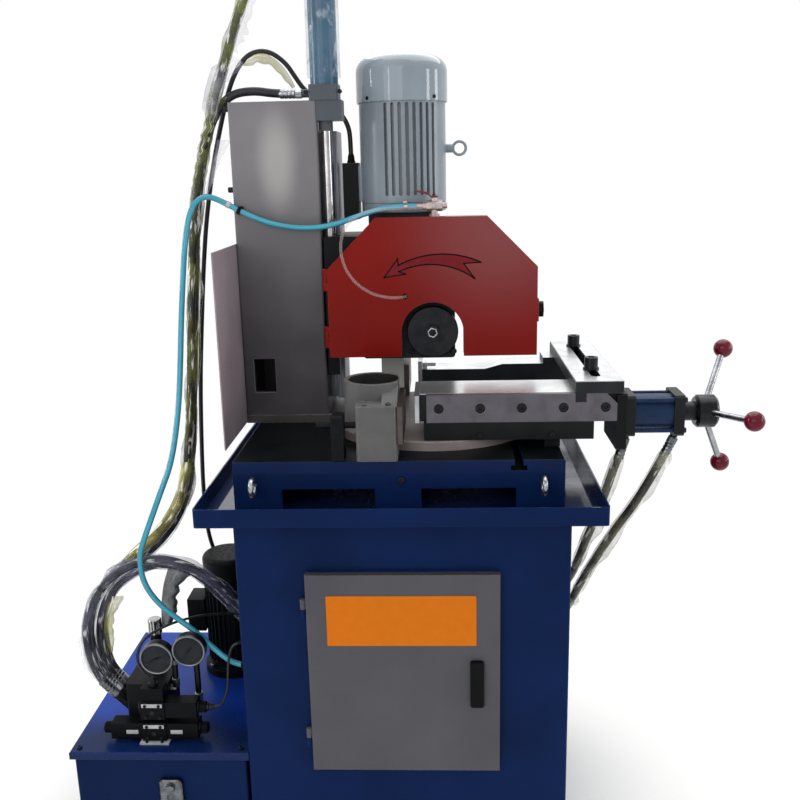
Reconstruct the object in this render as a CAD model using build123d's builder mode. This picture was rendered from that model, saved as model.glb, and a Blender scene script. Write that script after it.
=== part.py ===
from build123d import *
import math
import os

os.makedirs("parts", exist_ok=True)

# Hydraulic vertical cold saw for cutting pipe, in millimetres.
# X runs to the operator's right, Y away from the operator, Z up from the floor.
# The origin is the middle of the pedestal's footprint.

# Fits
slide_gap = 0.05
turn_gap = 0.05
bolt_gap = 0.1
panel_gap = 0.5

# Pedestal
pedestal_w = 720
pedestal_d = 630
pedestal_h = 880
pedestal_sheet = 4
pedestal_corner_r = 6
foot_flange_w = 70
foot_flange_t = 10
anchor_d = 14
anchor_inset = 35

# Cabinet door in the pedestal's front
door_w = 418
door_h = 473
door_t = 18
door_sheet = 2
door_rise = 277
door_overlap = 14
door_hinge_d = 12
door_hinge_h = 22
door_hinge_pin_d = 6
door_hinge_gap = 1
door_pin_l = 18
door_strap_t = 4
pin_end_gap = 1
door_hinge_inset = 80
lock_w = 30
lock_h = 110
lock_t = 12
lock_shaft_d = 12
lock_drop = 215
lock_inset = 50
lock_corner_r = 6
lock_bevel = 3

# Drip tray
tray_w = 850
tray_d = 770
tray_lip = 40
tray_sheet = 3
tray_corner_r = 8
tray_shift = -2

# Riser and table
table_w = 700
table_d = 604
table_shift = -5
table_t = 26
table_edge = 2
riser_h = 85
riser_wall = 20
riser_slot_w = 200
riser_slot_h = 50
riser_slot_pitch = 297
tee_slot_x = 249
tee_neck_w = 18
tee_neck_h = 12
tee_foot_w = 34
tee_foot_h = 11
eye_ring_r = 17
eye_wire_r = 5.5
eye_shank_r = 6
eye_shank_l = 10
eye_drop = 48
eye_pitch = 608

# Turntable that swings the column about the cut
pivot_x = 70
pivot_y = 4
disc_r = 240
disc_t = 21
disc_edge = 1.5
pivot_boss_d = 90
pivot_boss_h = 18

# Column with its guideway
column_w = 200
column_d = 200
column_h = 726
column_wall = 14
column_reach = 355
column_back = 109
column_edge_r = 5
guide_neck_w = 80
guide_neck_t = 18
guide_head_w = 110
guide_head_t = 20
guide_foot_gap = 25
guide_top_gap = 65
guide_shift = 17
window_w = 51
window_h = 82
window_inset = 25
window_rise = 56
splash_t = 3
splash_h = 430
splash_d = 261
splash_lap = 27
splash_drop = 19

# Saw head: carriage, gearbox, spindle
spindle_rise = 222
carriage_gap = 3
carriage_wall = 52
carriage_d = 186
carriage_drop = 51
carriage_rise = 222
stop_bar_w = 28
stop_bar_d = 30
stop_bar_h = 55
stop_bar_inset = 10
carriage_bevel = 3
face_gap = 10
gearbox_right = 53
gearbox_d = 182
gearbox_drop = 66
gearbox_rise = 74
gearbox_edge_r = 8
neck_w = 160
worm_distance = 65
worm_back = 96
gear_module = 3
wheel_teeth = 30
wheel_w = 28
wheel_room = 7
worm_l = 70
worm_room = 7
worm_foot_gap = 12
thread_sink = 0.4
thread_slope = 0.55
backlash = 1.1
spindle_r = 22.5
spindle_l = 180
bearing_r = 42.5
bearing_w = 19
bearing_inset = 16
spindle_room = 5
flange_r = 60
flange_t = 20
flange_front = 6
flange_bevel = 2
flange_bolt_r = 17
flange_bolt_t = 9
flange_socket_af = 17

# Motor on top of the gearbox
motor_rise = 274
motor_flange_r = 100
motor_flange_t = 22
motor_flange_bevel = 2
motor_frame_r = 101
motor_frame_h = 236
motor_groove_w = 8
motor_groove_depth = 11
motor_groove_count = 8
motor_groove_pitch = 9.4
motor_groove_turn = 282.7
motor_groove_gap = 16
rotor_r = 55
rotor_h = 140
air_gap = 1
motor_shaft_r = 14
motor_shield_t = 14
cowl_r = 106
cowl_h = 102
cowl_t = 2.5
cowl_edge_r = 36
cowl_lap = 12
cowl_slot_w = 7
cowl_foot_w = 14
cowl_foot_sink = 0.6
fan_r = 90
fan_h = 32
fan_blades = 8
fan_blade_t = 4
fan_hub_r = 24
fan_gap = 12
fan_plate_t = 5
box_w = 36
box_d = 70
box_h = 130
box_drop = 38
box_corner_r = 6
box_pad_inset = 6
box_pad_t = 4
box_pad_z = (4, 84)
motor_eye_r = 15
motor_eye_wire_r = 3.3
motor_eye_boss_r = 10
motor_eye_boss_l = 17
motor_eye_rise = 2

# Blade guard
guard_half_w = 241
guard_top_half_w = 127
guard_drop = 54
guard_shoulder = 150
guard_rise = 265
guard_d = 40
guard_sheet = 3
guard_arch_r = 72
guard_hinge_r = 5
guard_pin_r = 2.5
guard_hinge_h = 17
guard_hinge_z = (-14, 119)
guard_lip_d = 34
guard_lip_h = 52
guard_knob_r = 18
guard_knob_t = 11
guard_knob_z = 50
guard_knob_notch_r = 5
guard_knob_notches = 6
guard_screw_r = 4.5
drip_hole_r = 7
drip_hole_x = -63
drip_hole_z = 86

# Coolant valve on the guard's top
valve_x = 8
valve_z = 24
valve_body_r = 11
valve_body_l = 36
valve_nipple_r = 7
valve_nipple_l = 22
valve_barb_r = 5
valve_stem_r = 4
valve_collar_r = 6
valve_nut = 6
valve_hose_nut = 8
valve_shift = 4
lever_l = 42
lever_w = 12
lever_t = 4
lever_gap = 7
lever_seat = 8
lever_bend = 14
lever_step = 8
lever_rise = 14
lever_nut_h = 5

# Feed cylinder beside the column
feed_axis_x = 18
feed_axis_y = 30
feed_rod_r = 13
feed_bore_r = 25
feed_barrel_r = 31.5
feed_barrel_h = 255
feed_cap_h = 30
feed_cap_r = 36
feed_cap_bevel = 3
feed_piston_h = 30
feed_piston_gap = 5
feed_block_w = 66
feed_block_h = 34
feed_block_bevel = 4
feed_lower_w = 58
feed_lower_h = 44
feed_gland_r = 16
feed_gland_h = 22
feed_port_r = 9
feed_port_l = 18

# Fixed jaws
jaw_reach = 62
jaw_plate_t = 12
jaw_plate_edge = 1
jaw_block_w = 98
jaw_block_h = 118
jaw_over = 4
jaw_disc_gap = 4
jaw_bevel = 4
jaw_shelf_inset = 8
jaw_rib_inset = 6
jaw_rib_drop = 2
jaw_clear = 16
bowl_r = 65
bowl_wall = 10
bowl_h = 86
bowl_rise = 68
bowl_y = 199
bowl_rib_drop = 8
rear_jaw_w = 68
rear_jaw_h = 146
rear_jaw_d = 120
rear_jaw_foot_d = 62
jaw_screw_r = 7
jaw_screw_depth = 10
jaw_screw_x = (30, 80)
jaw_screw_y = 16
stop_w = 26
stop_d = 44
stop_h = 98
stop_gap = 27
stop_inset = 4
stop_bevel = 4
stop_rod_z = 73.5
stop_rod_r = 7
stop_rod_over = 32

# Vice
jaw_gap = 22
moving_plate_t = 11
vice_y = -161
vice_w = 140
rear_vice_y = 201
rear_vice_w = 80
bed_clear = 1
bed_foot_gap = 2
bed_foot_inset = 20
bed_left = 64
front_bed_left = -20
bed_right = 344
bed_h = 39
rear_bed_h = 34
rail_half_w = 46
rail_undercut = 4
rail_h = 18
rear_rail_half_w = 15
rear_rail_undercut = 3
rear_rail_h = 12
screw_channel_half_w = 17
screw_channel_depth = 27
saddle_right = 392
saddle_h = 61
saddle_edge = 1.5
saddle_screw_room = 6
gib_t = 15
gib_inset = 15
gib_chamfer = 22
gib_screw_pitch = 88.7
gib_screw_count = 5
gib_screw_first = 26.5
gib_screw_rise = 31
gib_head_r = 9
gib_head_h = 8
gib_shank_r = 5
gib_shank_l = 30
counterbore_r = 10.5
counterbore_depth = 9.5
rear_low_h = 39
rear_ramp = (130, 175)
rear_mid_h = 51
rear_block_x = 277
rear_plate_h = 60
front_plate_drop = 1
yoke_left = 303
yoke_w = 102
yoke_t = 27
yoke_edge = 1.5
yoke_over = 1
yoke_leg_w = 24
yoke_leg_h = 19
yoke_slot_w = 20
yoke_slot_l = 370
yoke_slot_over = 14.5
yoke_bolt_y = (-109, 170)
yoke_head_r = 15
yoke_head_h = 24
yoke_washer_r = 18
yoke_washer_t = 3.5
yoke_shank_r = 8
yoke_shank_l = 32
rear_jaw_bolt_l = 34
rear_jaw_bolt_r = 5
rear_jaw_nut_r = 9
rear_jaw_nut_t = 12
rear_jaw_nut_gap = 0.5
rear_jaw_bolt_y = 20
bracket_t = 21
bracket_d = 150
bracket_drop = 65
bracket_rise = 59
bracket_bevel = 3

# Vice cylinder, its screw and handwheel
cap_size = 90
cap_bevel = 5
front_cap_t = 24
barrel_l = 83
rear_cap_t = 22
cylinder_bore_r = 31.5
cylinder_wall = 8
tie_rod_r = 5
tie_rod_pitch = 68
cap_port_r = 8
cap_port_l = 14
piston_rod_r = 21
piston_t = 20
piston_inset = 38
piston_rod_inset = 6
neck_l = 30
vice_screw_r = 12
vice_screw_l = 440
vice_screw_bevel = 2
vice_nut_l = 60
vice_nut_inset = 14
vice_nut_cover = 4
screw_rise = 2
hub_r = 36
hub_l = 48
hub_chamfer = 6
spoke_r = 7
spoke_seat = 26
spoke_root_x = 30
ball_r = 21
ball_reach = 150
ball_x = 82
ball_phase = 54

# Oil tank and hydraulic unit
tank_w = 400
tank_d = 556
tank_h = 246
tank_wall = 4
tank_skid_h = 40
tank_skid_w = 40
tank_front = 307
lid_t = 18
lid_lap = 8
lid_edge = 2
gauge_plate_w = 54
gauge_plate_h = 150
gauge_plate_t = 14
gauge_plate_x = -545
gauge_plate_drop = 68
gauge_corner_r = 12
gauge_edge = 3
sight_w = 19
sight_l = 82
sight_depth = 4
gauge_bolt_pitch = 111
gauge_bolt_af = 19
gauge_bolt_h = 7
block_w = 100
block_d = 92
block_h = 126
block_x = -610
block_y = -186
block_bevel = 3
solenoid_body_w = 56
solenoid_body_d = 46
solenoid_body_h = 46
solenoid_r = 20
solenoid_l = 74
solenoid_knob_r = 11
solenoid_knob_l = 20
solenoid_z = (28, 82)
solenoid_coils = ((-1, 1), (1,))
solenoid_box_w = 52
solenoid_box_d = 36
solenoid_box_h = 32
solenoid_box_gap = 4
solenoid_shift = 24
solenoid_bevel = 3
dial_r = 38
dial_t = 24
dial_rim = 4
dial_sink = 4
dial_stem_r = 7
dial_x = (40, 116)
dial_z = (83, 103)
dial_front = -21
dial_pipe_drop = (24, 60)
relief_r = 13
relief_h = 95
relief_x = 10
relief_y = 22
relief_nut = 6
relief_nut_h = 20
relief_stem_r = 5
relief_stem_l = 20
relief_knob_r = 16
relief_knob_h = 38
relief_knob_bevel = 2
relief_knob_notch_r = 4
relief_knob_notches = 8
pump_x = -474
pump_y = 80
pump_r = 60
pump_h = 250
pump_flange_r = 76
pump_flange_t = 20
pump_cowl_r = 66
pump_cowl_h = 75
pump_cowl_edge_r = 14
port_r = 9
port_pitch = 22
port_rise = 90
port_reach = 26
port_sink = 12

# Cords
hose_d = 19
coolant_d = 13
motor_cable_d = 11
drip_d = 7
lead_d = 6
clip_l = 8
clip_t = 2.5
clip_w = 16
clip_h = 18
clip_sink = 1.5
cable_clip_x = 11
cable_clip_y = 85
cable_clip_rise = 14.5
cable_post_w = 10
cable_post_d = 14

# Levels and planes worked out from the sizes above
table_z = pedestal_h + tray_sheet + riser_h + table_t
tray_y = (tray_shift - tray_d / 2, tray_shift + tray_d / 2)
table_x = (table_shift - table_w / 2, table_shift + table_w / 2)
disc_z = (table_z + slide_gap, table_z + slide_gap + disc_t)
column_x = (pivot_x - column_reach - column_w / 2, pivot_x - column_reach + column_w / 2)
column_y = (pivot_y + column_back - column_d / 2, pivot_y + column_back + column_d / 2)
column_z = (disc_z[1], disc_z[1] + column_h)
spindle_z = table_z + spindle_rise
face_y = pivot_y + face_gap
guide_x = (column_x[1], column_x[1] + guide_neck_t, column_x[1] + guide_neck_t + guide_head_t)
guide_y = pivot_y + column_back + guide_shift
guide_z = (column_z[0] + guide_foot_gap, column_z[1] - guide_top_gap)
carriage_x = (column_x[1] + carriage_gap, guide_x[2] + carriage_wall)
carriage_z = (spindle_z - carriage_drop, spindle_z + carriage_rise)
gearbox_z = (spindle_z - gearbox_drop, spindle_z + gearbox_rise)
motor_x = pivot_x - worm_distance
motor_y = face_y + worm_back
motor_z = spindle_z + motor_rise
frame_z = (motor_z + motor_flange_t, motor_z + motor_flange_t + motor_frame_h)
wheel_r = gear_module * wheel_teeth / 2
worm_r = worm_distance - wheel_r
guard_y = (face_y - guard_d, face_y)
guard_x = (pivot_x - guard_half_w, pivot_x + guard_half_w)
door_plate_y = (guard_y[0] - panel_gap - guard_sheet, guard_y[0] - panel_gap)
guard_pin_x = guard_x[0] - guard_hinge_r
guard_pin_y = (door_plate_y[0] + door_plate_y[1]) / 2
guard_top_z = spindle_z + guard_rise
feed_x = column_x[1] + feed_axis_x
feed_y = column_y[0] + feed_axis_y
jaw_x = pivot_x - jaw_reach
moving_x = jaw_x + jaw_gap
saddle_x = (moving_x + moving_plate_t, pivot_x + saddle_right)
front_y = (pivot_y + vice_y - vice_w / 2, pivot_y + vice_y + vice_w / 2)
rear_y = (pivot_y + rear_vice_y - rear_vice_w / 2, pivot_y + rear_vice_y + rear_vice_w / 2)
bed_z = (disc_z[1] + bed_clear, disc_z[1] + bed_clear + bed_h)
rear_bed_z = (bed_z[0], bed_z[0] + rear_bed_h)
saddle_z = (bed_z[1], bed_z[1] + saddle_h)
gib_x = (saddle_x[0] + gib_inset, saddle_x[1])
screw_y = pivot_y + vice_y
screw_z = bed_z[1] + screw_rise
yoke_x = (pivot_x + yoke_left, pivot_x + yoke_left + yoke_w)
bracket_x = (saddle_x[1], saddle_x[1] + bracket_t)
front_cap_x = (bracket_x[1], bracket_x[1] + front_cap_t)
barrel_x = (front_cap_x[1], front_cap_x[1] + barrel_l)
rear_cap_x = (barrel_x[1], barrel_x[1] + rear_cap_t)
hub_x = (rear_cap_x[1] + neck_l, rear_cap_x[1] + neck_l + hub_l)
cap_y = (screw_y - cap_size / 2, screw_y + cap_size / 2)
cap_z = (screw_z - cap_size / 2, screw_z + cap_size / 2)
pedestal_front = -pedestal_d / 2
door_z = (door_rise, door_rise + door_h)
door_y = (pedestal_front - panel_gap - door_t, pedestal_front - panel_gap)
door_pin_x = -door_w / 2 - door_hinge_d / 2 - door_hinge_gap
door_pin_y = door_y[0] + door_hinge_d / 2
tank_x = (-pedestal_w / 2 - lid_lap - tank_w, -pedestal_w / 2 - lid_lap)
tank_y = (-tank_front, -tank_front + tank_d)
tank_z = (tank_skid_h, tank_skid_h + tank_h)
lid_z = tank_z[1] + lid_t
block_top = lid_z + block_h


# Box between two corners, given as a span on each axis
def block(x, y, z, mode=Mode.ADD):
    with Locations(((x[0] + x[1]) / 2, (y[0] + y[1]) / 2, (z[0] + z[1]) / 2)):
        Box(x[1] - x[0], y[1] - y[0], z[1] - z[0], mode=mode)


# Round bar from one point to another
def bar(start, end, radius, mode=Mode.ADD):
    axis = Vector(*end) - Vector(*start)
    with Locations(Plane(origin=start, z_dir=axis)):
        Cylinder(radius, axis.length, align=(Align.CENTER, Align.CENTER, Align.MIN), mode=mode)


# Hexagonal bar along an axis, with its width across flats
def hexagon(start, direction, across, length, mode=Mode.ADD):
    with BuildSketch(Plane(origin=start, z_dir=direction)) as face:
        RegularPolygon(across / 2, side_count=6, major_radius=False)
    extrude(face.sketch, amount=length, mode=mode)


# Span drawn in, or with a negative amount let out, at both ends
def inset(span, amount):
    return (span[0] + amount, span[1] - amount)


# Pedestal: folded sheet cabinet with an inward foot flange and the door's opening, and the door's lower
# hinge halves with their pins
hinge_levels = [door_z[0] + door_hinge_inset, door_z[1] - door_hinge_inset]
with BuildPart() as pedestal:
    block((-pedestal_w / 2, pedestal_w / 2), (-pedestal_d / 2, pedestal_d / 2), (0, pedestal_h))
    fillet(pedestal.edges().filter_by(Axis.Z), radius=pedestal_corner_r)
    block(
        inset((-pedestal_w / 2, pedestal_w / 2), pedestal_sheet),
        inset((-pedestal_d / 2, pedestal_d / 2), pedestal_sheet),
        (foot_flange_t, pedestal_h - pedestal_sheet),
        Mode.SUBTRACT,
    )
    block(
        inset((-pedestal_w / 2, pedestal_w / 2), foot_flange_w),
        inset((-pedestal_d / 2, pedestal_d / 2), foot_flange_w),
        (-1, foot_flange_t + 1),
        Mode.SUBTRACT,
    )
    block(
        inset((-door_w / 2, door_w / 2), door_overlap),
        (pedestal_front - 1, pedestal_front + pedestal_sheet + 1),
        inset(door_z, door_overlap),
        Mode.SUBTRACT,
    )
    with GridLocations(pedestal_w - 2 * anchor_inset, pedestal_d - 2 * anchor_inset, 2, 2):
        Cylinder(anchor_d / 2, 4 * foot_flange_t, mode=Mode.SUBTRACT)
    for level in hinge_levels:
        knuckle = (level - door_hinge_h, level - panel_gap / 2)
        bar((door_pin_x, door_pin_y, knuckle[0]), (door_pin_x, door_pin_y, knuckle[1]), door_hinge_d / 2)
        bar((door_pin_x, door_pin_y, level - 1), (door_pin_x, door_pin_y, level + door_pin_l),
            door_hinge_pin_d / 2)
        block((door_pin_x - door_hinge_d / 2, door_pin_x), (door_pin_y, pedestal_front + 1), knuckle)
pedestal.part.label = "pedestal"
export_step(pedestal.part, "parts/pedestal.step")

# Cabinet door: a shallow pan with the upper halves of its lift-off hinges
lock_x = door_w / 2 - lock_inset
lock_z = door_z[1] - lock_drop
with BuildPart() as cabinet_door:
    block((-door_w / 2, door_w / 2), door_y, door_z)
    fillet(cabinet_door.edges().filter_by(Axis.Z), radius=door_sheet)
    block(
        inset((-door_w / 2, door_w / 2), door_sheet),
        (door_y[0] + door_sheet, door_y[1] + 1),
        inset(door_z, door_sheet),
        Mode.SUBTRACT,
    )
    for level in hinge_levels:
        knuckle = (level + panel_gap / 2, level + door_hinge_h)
        bar((door_pin_x, door_pin_y, knuckle[0]), (door_pin_x, door_pin_y, knuckle[1]), door_hinge_d / 2)
        block((door_pin_x, -door_w / 2 + door_sheet), inset((door_pin_y, door_pin_y), -door_strap_t / 2),
              knuckle)
        bar(
            (door_pin_x, door_pin_y, knuckle[0] - 1),
            (door_pin_x, door_pin_y, level + door_pin_l + pin_end_gap),
            door_hinge_pin_d / 2 + turn_gap,
            Mode.SUBTRACT,
        )
    bar(
        (lock_x, door_y[0] - 1, lock_z),
        (lock_x, door_y[0] + door_sheet + 1, lock_z),
        lock_shaft_d / 2 + turn_gap,
        Mode.SUBTRACT,
    )
cabinet_door.part.label = "cabinet_door"
export_step(cabinet_door.part, "parts/cabinet_door.step")

# Door lock: turning handle with its shaft through the door's skin
with BuildPart() as door_lock:
    block(
        (lock_x - lock_w / 2, lock_x + lock_w / 2),
        (door_y[0] - panel_gap - lock_t, door_y[0] - panel_gap),
        (lock_z - lock_h + lock_w / 2, lock_z + lock_w / 2),
    )
    fillet(door_lock.edges().filter_by(Axis.Y), radius=lock_corner_r)
    chamfer(door_lock.faces().sort_by(Axis.Y)[0].edges(), length=lock_bevel)
    bar((lock_x, door_y[0] - panel_gap, lock_z), (lock_x, door_y[1] - 1, lock_z), lock_shaft_d / 2)
door_lock.part.label = "door_lock"
export_step(door_lock.part, "parts/door_lock.step")

# Drip tray on the pedestal's top
with BuildPart() as drip_tray:
    block((-tray_w / 2, tray_w / 2), tray_y, (pedestal_h, pedestal_h + tray_lip))
    fillet(drip_tray.edges().filter_by(Axis.Z), radius=tray_corner_r)
    block(
        inset((-tray_w / 2, tray_w / 2), tray_sheet),
        inset(tray_y, tray_sheet),
        (pedestal_h + tray_sheet, pedestal_h + tray_lip + 1),
        Mode.SUBTRACT,
    )
drip_tray.part.label = "drip_tray"
export_step(drip_tray.part, "parts/drip_tray.step")

# Riser: cast frame under the table, with two slots in its front and back
riser_z = (pedestal_h + tray_sheet, pedestal_h + tray_sheet + riser_h)
with BuildPart() as riser:
    block(table_x, (-table_d / 2, table_d / 2), riser_z)
    block(
        inset(table_x, riser_wall),
        inset((-table_d / 2, table_d / 2), riser_wall),
        inset(riser_z, -1),
        Mode.SUBTRACT,
    )
    for side in (-1, 1):
        middle = table_shift + side * riser_slot_pitch / 2
        block(
            (middle - riser_slot_w / 2, middle + riser_slot_w / 2),
            (-table_d / 2 - 1, table_d / 2 + 1),
            (riser_z[0] - 1, riser_z[0] + riser_slot_h),
            Mode.SUBTRACT,
        )
riser.part.label = "riser"
export_step(riser.part, "parts/riser.step")

# Table top with its tee slot and the turntable's pivot bore
with BuildPart() as table_top:
    block(table_x, (-table_d / 2, table_d / 2), (riser_z[1], table_z))
    chamfer(table_top.faces().sort_by(Axis.Z)[-1].edges(), length=table_edge)
    block(
        (tee_slot_x - tee_neck_w / 2, tee_slot_x + tee_neck_w / 2),
        (-table_d / 2 - 1, table_d / 2 + 1),
        (table_z - tee_neck_h, table_z + 1),
        Mode.SUBTRACT,
    )
    block(
        (tee_slot_x - tee_foot_w / 2, tee_slot_x + tee_foot_w / 2),
        (-table_d / 2 - 1, table_d / 2 + 1),
        (table_z - tee_neck_h - tee_foot_h, table_z - tee_neck_h),
        Mode.SUBTRACT,
    )
    bar(
        (pivot_x, pivot_y, table_z - pivot_boss_h - 1),
        (pivot_x, pivot_y, table_z + 1),
        pivot_boss_d / 2 + turn_gap,
        Mode.SUBTRACT,
    )
table_top.part.label = "table_top"
export_step(table_top.part, "parts/table_top.step")

# Lifting eyes on the riser's front and back
with BuildPart() as lifting_eyes:
    for side_x in (-1, 1):
        for side_y in (-1, 1):
            eye_x = table_shift + side_x * eye_pitch / 2
            eye_z = table_z - eye_drop
            seat_y = side_y * table_d / 2
            ring_y = seat_y + side_y * (eye_shank_l + eye_ring_r)
            bar((eye_x, seat_y, eye_z), (eye_x, seat_y + side_y * eye_shank_l, eye_z), eye_shank_r)
            with Locations((eye_x, ring_y, eye_z)):
                Torus(eye_ring_r, eye_wire_r, rotation=(0, 90, 0))
lifting_eyes.part.label = "lifting_eyes"
export_step(lifting_eyes.part, "parts/lifting_eyes.step")

# Turntable: round plate with a pivot boss and the arm that carries the column
with BuildPart() as turntable:
    bar((pivot_x, pivot_y, disc_z[0]), (pivot_x, pivot_y, disc_z[1]), disc_r)
    block((column_x[0], pivot_x), column_y, disc_z)
    chamfer(turntable.faces().sort_by(Axis.Z)[-1].edges(), length=disc_edge)
    bar((pivot_x, pivot_y, table_z - pivot_boss_h), (pivot_x, pivot_y, disc_z[0]), pivot_boss_d / 2)
turntable.part.label = "turntable"
export_step(turntable.part, "parts/turntable.step")

# Column: hollow casting with a tee-shaped guideway on its right side and a window low in its front
with BuildPart() as column:
    block(column_x, column_y, column_z)
    fillet(column.edges().filter_by(Axis.Z), radius=column_edge_r)
    block((guide_x[0] - 1, guide_x[1]), (guide_y - guide_neck_w / 2, guide_y + guide_neck_w / 2), guide_z)
    block((guide_x[1], guide_x[2]), (guide_y - guide_head_w / 2, guide_y + guide_head_w / 2), guide_z)
    block(
        inset(column_x, column_wall),
        inset(column_y, column_wall),
        (column_z[0] - 1, column_z[1] - column_wall),
        Mode.SUBTRACT,
    )
    block(
        (column_x[0] + window_inset, column_x[0] + window_inset + window_w),
        (column_y[0] - 1, column_y[0] + column_wall + 1),
        (column_z[0] + window_rise, column_z[0] + window_rise + window_h),
        Mode.SUBTRACT,
    )
column.part.label = "column"
export_step(column.part, "parts/column.step")

# Splash plate on the column's left side, reaching towards the operator
with BuildPart() as splash_plate:
    block(
        (column_x[0] - splash_t, column_x[0]),
        (column_y[0] + splash_lap - splash_d, column_y[0] + splash_lap),
        (column_z[0] - splash_drop, column_z[0] - splash_drop + splash_h),
    )
splash_plate.part.label = "splash_plate"
export_step(splash_plate.part, "parts/splash_plate.step")

# Mount block of the feed cylinder: a head on the column's top, a lower block on its side, a rod gland
mount_z = (column_z[1] - feed_lower_h, column_z[1], column_z[1] + feed_block_h)
with BuildPart() as cylinder_mount:
    block(
        (feed_x - feed_block_w / 2, feed_x + feed_block_w / 2),
        (feed_y - feed_block_w / 2, feed_y + feed_block_w / 2),
        (mount_z[1], mount_z[2]),
    )
    chamfer(cylinder_mount.edges().filter_by(Axis.Z), length=feed_block_bevel)
    block(
        (column_x[1], column_x[1] + feed_lower_w),
        (feed_y - feed_lower_w / 2, feed_y + feed_lower_w / 2),
        (mount_z[0], mount_z[1]),
    )
    bar((feed_x, feed_y, mount_z[0] - feed_gland_h), (feed_x, feed_y, mount_z[0]), feed_gland_r)
    bar(
        (feed_x - feed_block_w / 2 - feed_port_l, feed_y, (mount_z[1] + mount_z[2]) / 2),
        (feed_x - feed_block_w / 2, feed_y, (mount_z[1] + mount_z[2]) / 2),
        feed_port_r,
    )
    bar((feed_x, feed_y, mount_z[0] - feed_gland_h - 1), (feed_x, feed_y, mount_z[2] + 1),
        feed_rod_r + turn_gap, Mode.SUBTRACT)
cylinder_mount.part.label = "cylinder_mount"
export_step(cylinder_mount.part, "parts/cylinder_mount.step")

# Feed cylinder: barrel and closed top cap with its port
barrel_z = (mount_z[2], mount_z[2] + feed_barrel_h)
with BuildPart() as feed_cylinder:
    bar((feed_x, feed_y, barrel_z[0]), (feed_x, feed_y, barrel_z[1]), feed_barrel_r)
    bar((feed_x, feed_y, barrel_z[1]), (feed_x, feed_y, barrel_z[1] + feed_cap_h), feed_cap_r)
    chamfer(feed_cylinder.faces().sort_by(Axis.Z)[-1].edges(), length=feed_cap_bevel)
    bar(
        (feed_x - feed_cap_r - feed_port_l, feed_y, barrel_z[1] + feed_cap_h / 2),
        (feed_x, feed_y, barrel_z[1] + feed_cap_h / 2),
        feed_port_r,
    )
    bar((feed_x, feed_y, barrel_z[0] - 1), (feed_x, feed_y, barrel_z[1]), feed_bore_r, Mode.SUBTRACT)
feed_cylinder.part.label = "feed_cylinder"
export_step(feed_cylinder.part, "parts/feed_cylinder.step")

# Feed rod with its piston, screwed into the carriage
piston_z = (barrel_z[0] + feed_piston_gap, barrel_z[0] + feed_piston_gap + feed_piston_h)
with BuildPart() as feed_rod:
    bar((feed_x, feed_y, carriage_z[1]), (feed_x, feed_y, piston_z[0]), feed_rod_r)
    bar((feed_x, feed_y, piston_z[0]), (feed_x, feed_y, piston_z[1]), feed_bore_r - turn_gap)
feed_rod.part.label = "feed_rod"
export_step(feed_rod.part, "parts/feed_rod.step")

# Carriage: block that wraps the guideway, with a stop bar under it
guide_head_y = (guide_y - guide_head_w / 2, guide_y + guide_head_w / 2)
guide_neck_y = (guide_y - guide_neck_w / 2, guide_y + guide_neck_w / 2)
with BuildPart() as carriage:
    block(carriage_x, (face_y, face_y + carriage_d), carriage_z)
    chamfer(carriage.edges().filter_by(Axis.Z), length=carriage_bevel)
    block(
        (carriage_x[0], carriage_x[0] + stop_bar_w),
        (face_y + stop_bar_inset, face_y + stop_bar_inset + stop_bar_d),
        (carriage_z[0] - stop_bar_h, carriage_z[0]),
    )
    block(
        (guide_x[1] - slide_gap, guide_x[2] + slide_gap),
        inset(guide_head_y, -slide_gap),
        inset(carriage_z, -1),
        Mode.SUBTRACT,
    )
    block(
        (carriage_x[0] - 1, guide_x[1]),
        inset(guide_neck_y, -slide_gap),
        inset(carriage_z, -1),
        Mode.SUBTRACT,
    )
carriage.part.label = "carriage"
export_step(carriage.part, "parts/carriage.step")

# Gearbox: worm housing with the spindle's bearing seats and a neck for the motor
gearbox_y = (face_y, face_y + gearbox_d)
wheel_y = (motor_y - wheel_w / 2, motor_y + wheel_w / 2)
seat_y = (gearbox_y[0] + bearing_inset, gearbox_y[1] - bearing_inset)
with BuildPart() as gearbox:
    block((carriage_x[1], pivot_x + gearbox_right), gearbox_y, gearbox_z)
    fillet(gearbox.edges().filter_by(Axis.Y), radius=gearbox_edge_r)
    block(
        (motor_x - neck_w / 2, motor_x + neck_w / 2),
        (motor_y - neck_w / 2, motor_y + neck_w / 2),
        (gearbox_z[1], motor_z),
    )
    bar(
        (pivot_x, wheel_y[0] - wheel_room, spindle_z),
        (pivot_x, wheel_y[1] + wheel_room, spindle_z),
        wheel_r + gear_module + wheel_room,
        Mode.SUBTRACT,
    )
    bar(
        (motor_x, motor_y, gearbox_z[0] + worm_foot_gap),
        (motor_x, motor_y, motor_z + 1),
        worm_r + gear_module + worm_room,
        Mode.SUBTRACT,
    )
    bar((pivot_x, seat_y[0], spindle_z), (pivot_x, seat_y[0] + bearing_w, spindle_z), bearing_r,
        Mode.SUBTRACT)
    bar((pivot_x, seat_y[1] - bearing_w, spindle_z), (pivot_x, seat_y[1], spindle_z), bearing_r,
        Mode.SUBTRACT)
    bar((pivot_x, gearbox_y[0] - 1, spindle_z), (pivot_x, gearbox_y[0] + spindle_l, spindle_z),
        spindle_r + spindle_room, Mode.SUBTRACT)
gearbox.part.label = "gearbox"
export_step(gearbox.part, "parts/gearbox.step")

# Spindle bearings in their seats
with BuildPart() as spindle_bearings:
    for start in (seat_y[0], seat_y[1] - bearing_w):
        bar((pivot_x, start, spindle_z), (pivot_x, start + bearing_w, spindle_z), bearing_r)
        bar((pivot_x, start - 1, spindle_z), (pivot_x, start + bearing_w + 1, spindle_z),
            spindle_r + turn_gap, Mode.SUBTRACT)
spindle_bearings.part.label = "spindle_bearings"
export_step(spindle_bearings.part, "parts/spindle_bearings.step")

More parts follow.
